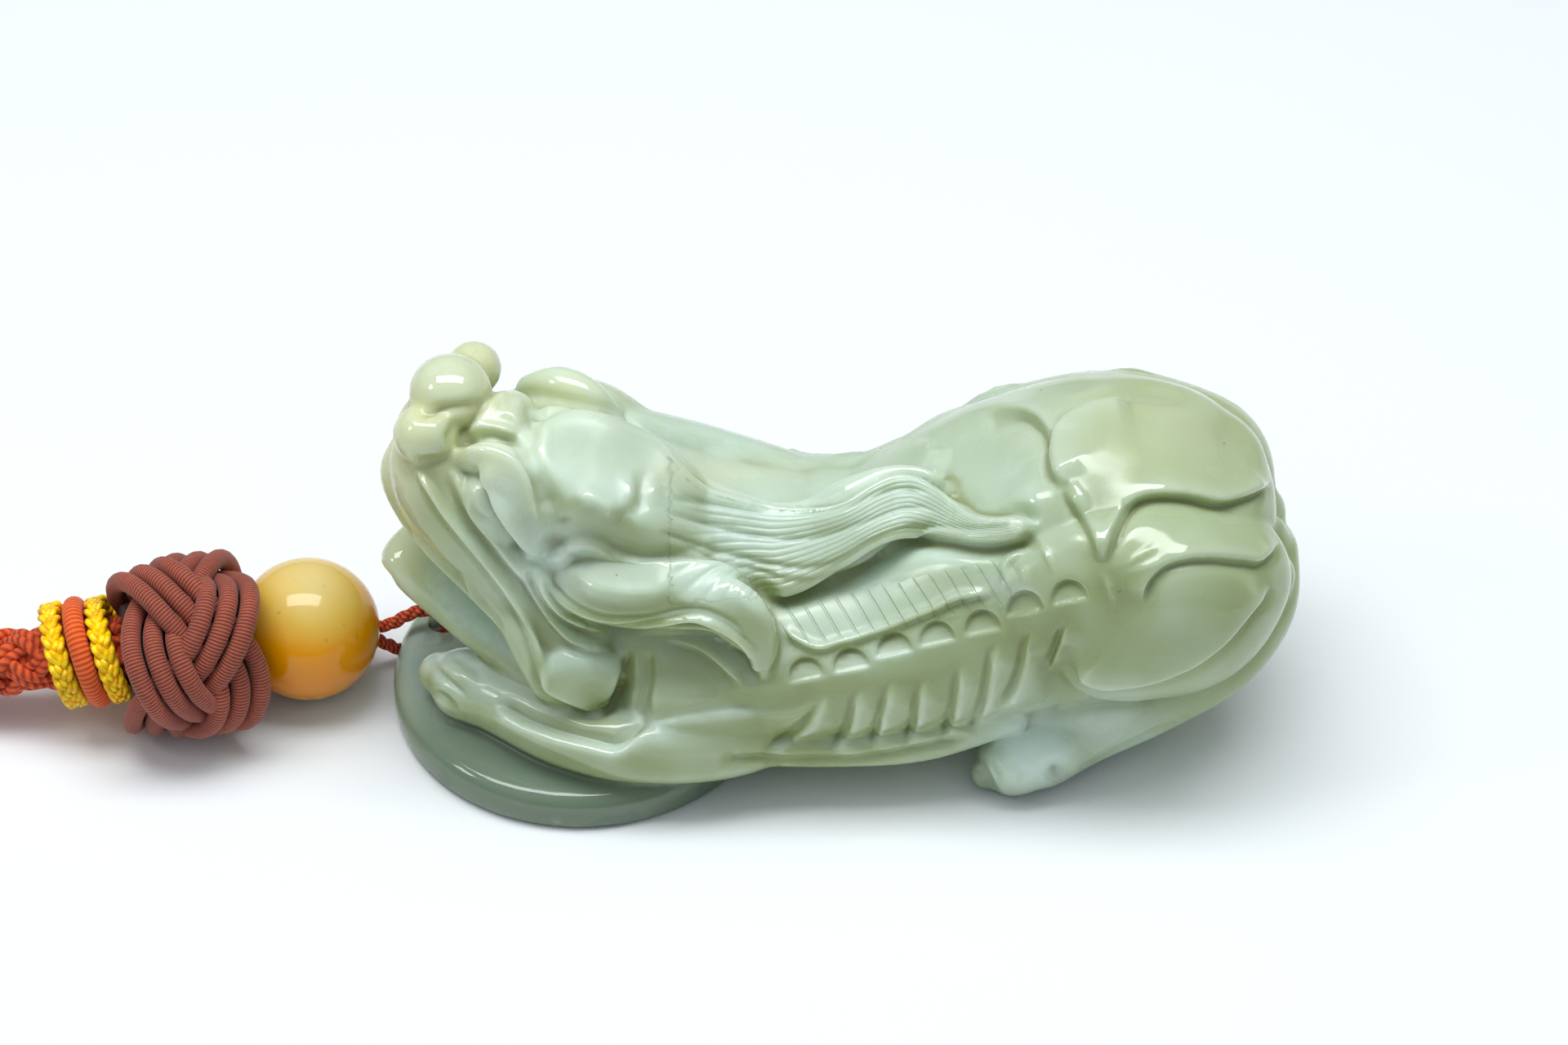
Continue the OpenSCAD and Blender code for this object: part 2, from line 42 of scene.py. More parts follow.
# View
# The pendant lies on a pale table top. The camera stands off its near flank, 43 degrees above the table, at
# the distance of a hand lens, so that the far side runs a little smaller than the near one.
view_height = math.radians(43.0)
view_centre = np.array([-4.12, 0.0, 17.2])
view_distance = 314.0
towards_camera = np.array([0.0, -math.cos(view_height), math.sin(view_height)])
camera_place = view_centre + view_distance * towards_camera

camera = bpy.data.objects.new("camera", bpy.data.cameras.new("camera"))
camera.data.sensor_width = 36.0
camera.data.lens = 100.0
camera.data.clip_start = 0.01
camera.location = (camera_place * mm).tolist()
camera.rotation_euler = (math.pi / 2 - view_height, 0.0, 0.0)
bpy.context.scene.collection.objects.link(camera)
bpy.context.scene.camera = camera
bpy.context.scene.view_settings.view_transform = "Standard"

# Suspension cord
# A thin red cord of three twisted plies. It comes out of the knot, runs through the bead, goes down through
# the hole in the coin, turns under it in a groove and comes back the same way, so that it lies doubled.
thin_start = np.array([-39.4, 1.15, 0.0])
thin_yaw = math.radians(18.0)
# distance from the bead's middle along the cord's upright plane, and height
thin_out = [[-8, 7.5], [-6.5, 7.68], [-5, 7.6], [-3.5, 7.24], [0, 5.94], [3, 4.8], [4.8, 4.12], [5.6, 3.96],
            [6.4, 4.02], [7.4, 4.42]]
thin_back = [[7.5, 0.7], [6.7, 1.2], [5.8, 2.0], [4.8, 2.9], [3, 3.64], [0, 4.76], [-3.5, 6.08], [-5, 6.52],
             [-6.5, 6.62], [-8, 6.4]]
# between them the cord turns back in half a circle
turn_along, turn_up, turn_r = 8.41, 2.6, 2.05
turn = np.radians([90, 60, 30, 0, -30, -60, -90])
thin_turn = np.stack([turn_along + turn_r * np.cos(turn), turn_up + turn_r * np.sin(turn)], 1)
ply_pitch = 3.2
ply_out = 0.25
ply_r = 0.255


def through(points, steps):
    """A smooth line through a row of points: between two of them each coordinate follows the cubic that
    passes both and leaves each one parallel to the line that joins its two neighbours."""
    r = np.asarray(points, float)
    a, d = np.vstack([r[:1], r[:-2]]), np.vstack([r[2:], r[-1:]])
    b, c = r[:-1], r[1:]
    t = np.arange(steps)[None, :, None] / steps
    a, b, c, d = (x[:, None] for x in (a, b, c, d))
    s = 0.5 * (2 * b + (c - a) * t + (2 * a - 5 * b + 4 * c - d) * t**2 + (3 * b - a - 3 * c + d) * t**3)
    return np.vstack([s.reshape(-1, r.shape[1]), r[-1:]])


def unit(v):
    """Vectors of length one: each row divided by its length."""
    return v / np.maximum(np.linalg.norm(v, axis=-1, keepdims=True), 1e-12)


def length_run(line):
    """The length run along a line at each of its points: the sum of the steps up to it."""
    return np.concatenate([[0.0], np.cumsum(np.linalg.norm(np.diff(line, axis=0), axis=1))])


def carried(line, out, profile, ring=False):
    """A profile carried along a line. At each point of the line, out is squared up to the line's direction
    and the third axis lies across both; a profile point (x, y) goes x across and y outwards. Returns a grid
    of points, one row for each point of the line, and the length run along the line."""
    ahead, behind = np.roll(line, -1, 0), np.roll(line, 1, 0)
    if not ring:
        ahead[-1], behind[0] = line[-1], line[0]
    along = unit(ahead - behind)
    out = unit(out - (out * along).sum(-1, keepdims=True) * along)
    across = np.cross(along, out)
    grid = line[:, None] + profile[..., :1] * across[:, None] + profile[..., 1:] * out[:, None]
    return grid, length_run(line)


def beside(line, out, across_by, out_by, ring=False):
    """A line that runs beside another: each of its points is moved so far across and so far outwards."""
    shift = np.stack(np.broadcast_arrays(across_by, out_by, np.empty(len(line)))[:2], -1)
    return carried(line, out, shift[:, None], ring)[0][:, 0]


def woven(name, tubes, material, ring=False):
    """One piece from grids of points that close on themselves sideways: quads between neighbours, the ends
    closed with a fan, or joined where the line is a ring. The UV map holds millimetres along and the share
    around."""
    verts, faces, uvs, tris, first = [], [], [], [], 0
    for grid, run in tubes:
        m, n = grid.shape[:2]
        i, j = np.meshgrid(np.arange(m if ring else m - 1), np.arange(n), indexing="ij")
        i2, j2 = (i + 1) % m, (j + 1) % n
        faces.append(first + np.stack([i * n + j, i * n + j2, i2 * n + j2, i2 * n + j], -1).reshape(-1, 4))
        step = run[1] - run[0]
        r0, r1 = run[i], np.where(i + 1 < m, run[np.minimum(i + 1, m - 1)], run[-1] + step)
        uvs.append(np.stack([r0, j / n, r0, (j + 1) / n, r1, (j + 1) / n, r1, j / n], -1).reshape(-1, 2))
        verts.append(grid.reshape(-1, 3))
        if not ring:
            verts.append(np.stack([grid[0].mean(0), grid[-1].mean(0)]))
            k, k2, e = np.arange(n), (np.arange(n) + 1) % n, m * n
            start_fan = np.stack([e + 0 * k, k2, k], -1)
            end_fan = np.stack([e + 1 + 0 * k, (m - 1) * n + k, (m - 1) * n + k2], -1)
            tris.append(first + np.concatenate([start_fan, end_fan]))
        first += m * n + (0 if ring else 2)
    quads = np.concatenate(faces)
    fans = np.concatenate(tris) if tris else np.zeros((0, 3), int)
    mesh = bpy.data.meshes.new(name)
    mesh.from_pydata((np.concatenate(verts) * mm).tolist(), [], quads.tolist() + fans.tolist())
    mesh.uv_layers.new(name="run")
    uv = np.concatenate(uvs + [np.zeros((len(fans) * 3, 2))])
    mesh.uv_layers["run"].data.foreach_set("uv", uv.ravel())
    mesh.polygons.foreach_set("use_smooth", np.ones(len(mesh.polygons), bool))
    mesh.materials.append(material)
    obj = bpy.data.objects.new(name, mesh)
    bpy.context.scene.collection.objects.link(obj)
    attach(obj, "root")
    return obj


def all_round(count):
    """Angles evenly spaced over a whole turn."""
    return np.arange(count) * 2 * math.pi / count


def circle(radius, sides):
    """Points of a circle, evenly spaced."""
    a = all_round(sides)
    return np.stack([radius * np.cos(a), radius * np.sin(a)], -1)


def reckoned(tree, kind, *values):
    """Arithmetic in a material: a number is set on the node, and another node's output is linked to it."""
    node = tree.nodes.new("ShaderNodeMath")
    node.operation = kind
    for socket, value in zip(node.inputs, values):
        if isinstance(value, (int, float)):
            socket.default_value = value
        else:
            tree.links.new(value, socket)
    return node.outputs[0]


def mapped(tree, value, low, high, first, last, smoothly=False):
    """A value carried from the range low to high into the range first to last, evenly or as a smooth rise."""
    node = tree.nodes.new("ShaderNodeMapRange")
    if smoothly:
        node.interpolation_type = "SMOOTHSTEP"
    for label, number in (("From Min", low), ("From Max", high), ("To Min", first), ("To Max", last)):
        node.inputs[label].default_value = number
    tree.links.new(value, node.inputs["Value"])
    return node.outputs[0]


def clouded(tree, scale, detail=2.0, roughness=0.5, distortion=0.0):
    """Noise on a piece's Object coordinates, with so many lumps to the metre."""
    where = tree.nodes.new("ShaderNodeTexCoord")
    noise = tree.nodes.new("ShaderNodeTexNoise")
    for label, number in (("Scale", scale), ("Detail", detail), ("Roughness", roughness),
                          ("Distortion", distortion)):
        noise.inputs[label].default_value = number
    tree.links.new(where.outputs["Object"], noise.inputs["Vector"])
    return noise.outputs["Fac"]


def toned(tree, value, stops):
    """A colour read off a value: each stop gives a position and its colour, with even blends between them."""
    node = tree.nodes.new("ShaderNodeValToRGB")
    marks = node.color_ramp.elements
    marks[0].position, marks[1].position = stops[0][0], stops[-1][0]
    marks[0].color, marks[1].color = (*stops[0][1], 1), (*stops[-1][1], 1)
    for position, colour in stops[1:-1]:
        marks.new(position).color = (*colour, 1)
    tree.links.new(value, node.inputs[0])
    return node.outputs[0]


def shaded(tree, colour, value):
    """A colour multiplied by a value."""
    node = tree.nodes.new("ShaderNodeMix")
    node.data_type = "RGBA"
    node.blend_type = "MULTIPLY"
    node.inputs["Factor"].default_value = 1.0
    tree.links.new(colour, node.inputs["A"])
    tree.links.new(value, node.inputs["B"])
    return node.outputs["Result"]


def bumped(tree, height, strength, depth):
    """The normal of a surface with fine relief: a height of one stands so deep, in metres."""
    node = tree.nodes.new("ShaderNodeBump")
    node.inputs["Strength"].default_value = strength
    node.inputs["Distance"].default_value = depth
    tree.links.new(height, node.inputs["Height"])
    return node.outputs[0]


def new_material(name):
    """A new material, its node tree and its shader."""
    material = bpy.data.materials.new(name)
    material.use_nodes = True
    return material, material.node_tree, material.node_tree.nodes["Principled BSDF"]


def thread_effect():
    """Node group: the fibres of a thread. Ribs cross the run at a slant, their height is half of one plus
    the sine of the turns run, and fine noise breaks them up. It puts out a mask from groove to crown, which
    is also the height, and broad patches."""
    tree = bpy.data.node_groups.new("thread fibres", "ShaderNodeTree")
    for label, kind, value in [("Run", "NodeSocketVector", None), ("Ribs per mm", "NodeSocketFloat", 2.0),
                               ("Slant", "NodeSocketFloat", 1.0), ("Fuzz", "NodeSocketFloat", 0.3)]:
        socket = tree.interface.new_socket(label, in_out="INPUT", socket_type=kind)
        if value is not None:
            socket.default_value = value
    for label in ("Crown", "Height", "Patch"):
        tree.interface.new_socket(label, in_out="OUTPUT", socket_type="NodeSocketFloat")
    given, result = tree.nodes.new("NodeGroupInput"), tree.nodes.new("NodeGroupOutput")
    split = tree.nodes.new("ShaderNodeSeparateXYZ")
    tree.links.new(given.outputs["Run"], split.inputs[0])
    along = reckoned(tree, "MULTIPLY", split.outputs["X"], given.outputs["Ribs per mm"])
    around = reckoned(tree, "MULTIPLY", split.outputs["Y"], given.outputs["Slant"])
    turns = reckoned(tree, "ADD", along, around)
    wave = reckoned(tree, "SINE", reckoned(tree, "MULTIPLY", turns, 2 * math.pi))
    crest = reckoned(tree, "ADD", reckoned(tree, "MULTIPLY", wave, 0.5), 0.5)
    ragged = reckoned(tree, "SUBTRACT", clouded(tree, 2600.0), 0.5)
    crown = reckoned(tree, "ADD", crest, reckoned(tree, "MULTIPLY", ragged, given.outputs["Fuzz"]))
    for label, value in (("Crown", crown), ("Height", crown), ("Patch", clouded(tree, 220.0, 3.0))):
        tree.links.new(value, result.inputs[label])
    return tree


thread_fibres = thread_effect()


def thread_material(name, dark, light, ribs, slant, depth, fuzz=0.4, roughness=0.75, sheen=0.12, patch=0.18):
    """Spun thread: dark between the fibres, as painted shade in the grooves of their bump relief, and light
    on them, a little uneven along the run, with a soft sheen."""
    material, tree, shader = new_material(name)
    run = tree.nodes.new("ShaderNodeUVMap")
    run.uv_map = "run"
    fibres = tree.nodes.new("ShaderNodeGroup")
    fibres.node_tree = thread_fibres
    for label, value in (("Ribs per mm", ribs), ("Slant", slant), ("Fuzz", fuzz)):
        fibres.inputs[label].default_value = value
    tree.links.new(run.outputs[0], fibres.inputs["Run"])
    # the dark stop is painted shade in the grooves between the fibres, the light stop the thread's own colour
    # on their crowns
    tone = toned(tree, fibres.outputs["Crown"], [(0.05, dark), (0.75, light)])
    uneven = mapped(tree, fibres.outputs["Patch"], 0.3, 0.7, 1.0 - patch, 1.0 + patch)
    tree.links.new(shaded(tree, tone, uneven), shader.inputs["Base Color"])
    tree.links.new(bumped(tree, fibres.outputs["Height"], 0.8, depth * mm), shader.inputs["Normal"])
    shader.inputs["Roughness"].default_value = roughness
    shader.inputs["Sheen Weight"].default_value = sheen
    shader.inputs["Sheen Roughness"].default_value = 0.5
    return material


thin_plan = through(np.vstack([thin_out, thin_turn, thin_back]), 10)
ahead = np.array([math.cos(thin_yaw), math.sin(thin_yaw), 0.0])
thin_line = thin_start + thin_plan[:, :1] * ahead + thin_plan[:, 1:] * np.array([0.0, 0.0, 1.0])
plane_side = np.tile(np.cross(ahead, [0.0, 0.0, 1.0]), (len(thin_line), 1))
plies = []
for ply in range(3):
    twist = 2 * math.pi * (length_run(thin_line) / ply_pitch + ply / 3)
    middle = beside(thin_line, plane_side, ply_out * np.cos(twist), ply_out * np.sin(twist))
    plies.append(carried(middle, plane_side, circle(ply_r, 10)))
red_thread = thread_material("red thread", (0.20, 0.018, 0.003), (0.72, 0.09, 0.018), 3.0, 1.0, 0.05)
suspension = woven("thin_cord", plies, red_thread)
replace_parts(suspension, "suspension_cord")

# Braided cord
# A thick round braid of eight brick-red strands, four running each way round and passing over and under in
# turn, each strand two yarns side by side. It leaves the knot, runs along the table and comes back in a
# plain loop.
braid_d = 5.2
snout_x = -33.2
# the route, measured from the snout's end on the table
braid_route = [[-18.9, -2.3, 6.9], [-21, -2.2, 6.4], [-24, -2.1, 5.8], [-27, -2.1, 5.3], [-30, -2.1, 4.7],
               [-33, -2.1, 4.1], [-36, -2.2, 3.6], [-39, -2.2, 3.45], [-42, -2.3, 3.4], [-44.8, -3.2, 3.15],
               [-47.6, -5.1, 2.8], [-50.2, -7.6, 2.7], [-53.4, -10, 2.65], [-57.4, -11.3, 2.65],
               [-61.5, -11.1, 2.65], [-65.4, -9.3, 2.65], [-68.4, -6.1, 2.65], [-70, -2, 2.65],
               [-70.1, 2.2, 2.65], [-68.7, 6.2, 2.65], [-65.8, 9.8, 2.65], [-61.9, 12, 2.65],
               [-57.6, 12.5, 2.65], [-53.4, 11.2, 2.65], [-50.2, 8.8, 2.7], [-47.6, 6.3, 2.8],
               [-44.8, 4.4, 3.15], [-42, 3.5, 3.4], [-39, 3.4, 3.45], [-37, 3.4, 3.45]]
lay_length = 15.0
yarn_r = 0.44
weave_depth = 0.3
# Each strand turns round the middle once in a lay length. Its radius swings in and out by the cosine, four
# times a turn, and the strands that run the other way swing the other way.
braid_line = through(np.array(braid_route) + [snout_x, 0, 0], 12)
upward = np.tile([0.0, 0.0, 1.0], (len(braid_line), 1))
laid = 2 * math.pi * length_run(braid_line) / lay_length
yarns = []
for way in (1, -1):
    for strand in range(4):
        for side in (-1, 1):
            r = braid_d / 2 - yarn_r - weave_depth + weave_depth * way * np.cos(4 * laid)
            turned = way * laid + strand * math.pi / 2 + side * yarn_r * 0.98 / r
            middle = beside(braid_line, upward, r * np.sin(turned), r * np.cos(turned))
            yarns.append(carried(middle, unit(middle - braid_line), circle(yarn_r, 7) * [1.0, 0.9]))
core_r = braid_d / 2 - 2 * yarn_r - 0.2
yarns.append(carried(braid_line, upward, circle(core_r, 12)))
braid_red = thread_material("braid red", (0.36, 0.028, 0.002), (0.82, 0.105, 0.014), 1.6, 2.0, 0.07, fuzz=0.7)
braid = woven("braid", yarns, braid_red)
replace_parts(braid, "braided_cord")

# Loop binding
# Red thread wound round both legs of the loop, turn beside turn, where the braid's end is stitched down.
# Each turn is a straight over the legs, half a circle down the side, a straight back and half a circle up.
binding_place = np.array([snout_x - 39.2, 0.6, 3.45])
binding_half = 2.5
leg_gap = 5.6
wound_r = 0.26
leg_r = braid_d / 2 + 0.15 + wound_r
turns = 10
share = np.linspace(0, turns, turns * 56)
d = share % 1.0 * (2 * math.pi * leg_r + 2 * leg_gap)
half_round = math.pi * leg_r
over, down, back = d < leg_gap, d < leg_gap + half_round, d < 2 * leg_gap + half_round
down_turn = (d - leg_gap) / leg_r
up_turn = (d - 2 * leg_gap - half_round) / leg_r
y = np.select([over, down, back],
              [-leg_gap / 2 + d, leg_gap / 2 + leg_r * np.sin(down_turn),
               leg_gap / 2 - (d - leg_gap - half_round)],
              -leg_gap / 2 - leg_r * np.sin(up_turn))
z = np.select([over, down, back], [leg_r + 0 * d, leg_r * np.cos(down_turn), -leg_r + 0 * d],
              -leg_r * np.cos(up_turn))
x = (share / turns - 0.5) * 2 * (binding_half - wound_r)
binding_line = binding_place + np.stack([x, y, z], -1)
away = unit(np.stack([0 * x, y - np.clip(y, -leg_gap / 2, leg_gap / 2) + 1e-6, z], -1))
binding = woven("loop_binding", [carried(binding_line, away, circle(1.0, 8) * [wound_r * 1.05, wound_r])],
                red_thread)
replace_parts(binding, "loop_wrap")

# Knot
# A button knot tied from a brown-red cord that is itself wound with fine thread. Three cords lie side by
# side and weave three times round the axis with four bights at each end. A near-black core fills its
# middle: painted shade for the dark inside of the knot between the strands.
knot_d = 14.2
knot_l = 11.6
strand_d = 1.6
knot_place = np.array([-47.9, -2.4, 7.1])
knot_yaw = math.radians(16.0)
knot_tip = math.radians(95.0)
bead_place = np.array([-39.4, 1.15, 5.35])
clear_of_bead = 5.6


def core_radius(height):
    """Radius of the knot's core at a height on its axis: an ellipse, widest in the middle."""
    return (knot_d / 2 - 1.9 * strand_d) * np.sqrt(1 - (1.2 * height / knot_l) ** 2)


def about_y(angle):
    """A turn about the Y axis, as a matrix."""
    c, s = math.cos(angle), math.sin(angle)
    return np.array([[c, 0, s], [0, 1, 0], [-s, 0, c]])


def about_z(angle):
    """A turn about the upright axis, as a matrix."""
    c, s = math.cos(angle), math.sin(angle)
    return np.array([[c, -s, 0], [s, c, 0], [0, 0, 1]])


# The middle cord's line goes three times round while its height swings four times, by the cosine, and it
# passes over and under in turn, by the sine of twice that.
t = all_round(1260)
h = (knot_l / 2 - 1.75 * strand_d) * np.cos(4 * t)
r = core_radius(h) + 0.35 * strand_d + 0.5 * strand_d * (1 + np.sin(8 * t))
knot_line = np.stack([r * np.cos(3 * t), r * np.sin(3 * t), h], -1)
outwards = unit(knot_line * [1, 1, 0.35])
knot_turn = about_z(knot_yaw) @ about_y(knot_tip)
knot_strands = []
for lane in (-1, 0, 1):
    lane_line = beside(knot_line, outwards, lane * strand_d, 0.0, ring=True)
    grid, run = carried(lane_line, outwards, circle(strand_d * 0.45, 14), ring=True)
    knot_strands.append((grid @ knot_turn.T + knot_place, run))
gimp = thread_material("brown red gimp", (0.11, 0.02, 0.01), (0.41, 0.088, 0.046), 4.4, 1.0, 0.035, fuzz=0.55)
knot = woven("knot_strands", knot_strands, gimp, ring=True)

# the core, pressed in where the bead sits against it, coloured near-black as painted shade
core_heights = np.linspace(-0.38 * knot_l, 0.38 * knot_l, 25)
core_r = (core_radius(core_heights) - 0.1)[:, None]
around = all_round(40)
core = np.stack([core_r * np.cos(around), core_r * np.sin(around), core_heights[:, None] + 0 * around], -1)
core = core @ knot_turn.T + knot_place
from_bead = core - bead_place
bead_distance = np.linalg.norm(from_bead, axis=-1, keepdims=True)
core = bead_place + from_bead * np.maximum(1.0, clear_of_bead / bead_distance)
# painted shade: the core's near-black stands for the shadow deep inside the knot
knot_shade_fill = thread_material("knot core painted shade", (0.02, 0.005, 0.003), (0.06, 0.014, 0.009), 1.2, 1.0, 0.05)
knot_core = woven("knot_core", [(core, core_heights)], knot_shade_fill)
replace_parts(knot, "knot")

# Bead
# A polished ball of amber-coloured stone with a small countersink at each end of its bore. The profile runs
# from the countersink over the ball to the other one and back through the bore, and is turned about the
# bore's axis.
bead_r = 5.3
bore_r = 1.35
bead_dip = math.radians(20.8)
lip = math.asin(bore_r / bead_r)
polar = np.linspace(lip + 0.06, math.pi - lip - 0.06, 72)
countersink = np.array([[bore_r, bead_r * math.cos(lip) - 0.35],
                        [bore_r + 0.08, bead_r * math.cos(lip) - 0.12],
                        [bore_r + 0.2, bead_r * math.cos(lip + 0.045) - 0.01]])
ball = np.stack([bead_r * np.sin(polar), bead_r * np.cos(polar)], -1)
bore = np.stack([np.full(12, bore_r), np.linspace(-countersink[0, 1], countersink[0, 1], 14)[1:-1]], -1)
outline = np.concatenate([countersink, ball, countersink[::-1] * [1, -1], bore])
around = all_round(96)
bead_grid = np.stack([outline[:, :1] * np.cos(around), outline[:, :1] * np.sin(around),
                      outline[:, 1:] + 0 * around], -1)
bead_grid = bead_grid @ (about_z(thin_yaw) @ about_y(math.pi / 2 + bead_dip)).T + bead_place

# pale yellow above, duller brown below and deep amber round the middle, in level bands that drift a little,
# with fine dark specks
amber, tree, shader = new_material("amber stone")
centred = tree.nodes.new("ShaderNodeMapping")
centred.inputs["Location"].default_value = (-bead_place * mm).tolist()
where = tree.nodes.new("ShaderNodeTexCoord")
tree.links.new(where.outputs["Object"], centred.inputs["Vector"])
axes = tree.nodes.new("ShaderNodeSeparateXYZ")
tree.links.new(centred.outputs[0], axes.inputs[0])
level = reckoned(tree, "MULTIPLY_ADD", clouded(tree, 160.0, 3.0), 0.0028, axes.outputs["Z"])
bands = mapped(tree, level, -0.0041, 0.0069, 0.0, 1.0)
tones = toned(tree, bands, [(0.0, (0.52, 0.31, 0.12)), (0.2, (0.55, 0.28, 0.05)), (0.3, (0.70, 0.24, 0.0)),
                            (0.5, (0.84, 0.29, 0.0)), (0.72, (0.84, 0.34, 0.0)), (0.87, (0.76, 0.50, 0.09)),
                            (1.0, (0.76, 0.60, 0.24))])
specks = mapped(tree, clouded(tree, 900.0, 4.0), 0.24, 0.34, 0.72, 1.0)
tree.links.new(shaded(tree, tones, specks), shader.inputs["Base Color"])
shader.inputs["Roughness"].default_value = 0.09
shader.inputs["IOR"].default_value = 1.45
shader.inputs["Subsurface Weight"].default_value = 0.25
shader.inputs["Subsurface Radius"].default_value = (1.0, 0.5, 0.12)
shader.inputs["Subsurface Scale"].default_value = 0.003
bead = woven("ball_bead", [(np.swapaxes(bead_grid, 0, 1), around * bead_r)], amber, ring=True)
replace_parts(bead, "bead")

# Thread rings
# Three rings on the braid beside the knot: gold plaits on both sides of a ring of red gimp. Each is bound
# round the braid and leans a little with it.
ring_inner = braid_d / 2 + 0.15
ring_deep = 1.5
ring_half = 0.76
ring_places = np.array([[-20.4, -2.2, 6.55], [-22.1, -2.15, 6.2], [-23.85, -2.1, 5.85]]) + [snout_x, 0, 0]
ring_turn = about_z(math.radians(12.0)) @ about_y(math.radians(-101.0))
plait_rise, plait_swing = 0.3, 0.42
yarn_gap, gold_yarn_r = 0.19, 0.25


def plait(strand, periods=7, points=560):
    """One strand of a three-strand plait bent into a ring: it swings across as the sine of its phase and
    rises as the sine of twice its phase, a third of a turn behind its neighbour."""
    a = all_round(points)
    phase = periods * a + strand * 2 * math.pi / 3
    r = ring_inner + ring_half + plait_rise * np.sin(2 * phase)
    line = np.stack([r * np.cos(a), r * np.sin(a), plait_swing * np.sin(phase)], -1)
    return line, np.stack([np.cos(a), np.sin(a), 0 * a], -1)


gold_thread = thread_material("gold thread", (0.98, 0.48, 0.0), (1.0, 0.72, 0.0), 1.9, 1.0, 0.06, fuzz=0.8,
                              roughness=0.34, sheen=0.0, patch=0.3)
gold_thread.node_tree.nodes["Principled BSDF"].inputs["Metallic"].default_value = 0.05
for name, node, at in [("gold_plait_near_knot", "gold_wrap_1", ring_places[0]),
                       ("gold_plait_outer", "gold_wrap_2", ring_places[2])]:
    strands = []
    for strand in range(3):
        line, out = plait(strand)
        for side in (-1, 1):
            yarn_line = beside(line, out, side * yarn_gap, 0.0, ring=True)
            grid, run = carried(yarn_line, out, circle(gold_yarn_r, 7), ring=True)
            strands.append((grid @ ring_turn.T + at, run))
    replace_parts(woven(name, strands, gold_thread, ring=True), node)

around = all_round(240)
out = np.stack([np.cos(around), np.sin(around), 0 * around], -1)
hoop = (ring_inner + ring_deep / 2) * out
grid, run = carried(hoop, out, circle(1.0, 20) * [ring_half, ring_deep / 2], ring=True)
red_gimp = thread_material("red gimp", (0.50, 0.045, 0.004), (0.90, 0.145, 0.012), 3.0, 1.0, 0.05, fuzz=0.5)
red_ring = woven("red_ring", [(grid @ ring_turn.T + ring_places[1], run)], red_gimp, ring=True)
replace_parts(red_ring, "red_wrap")

# Jade figure
# One pebble of pale celadon jade carved in the round: a crouching winged beast, head thrown back, forepaws
# on a coin. The forms are roughed out first, run together as one stone and rubbed smooth, then cut with
# lines, ledges and pockets, drilled through the coin's rim for the thin cord, and polished.
stone = np.array([66.4, 28.8, 32.0])
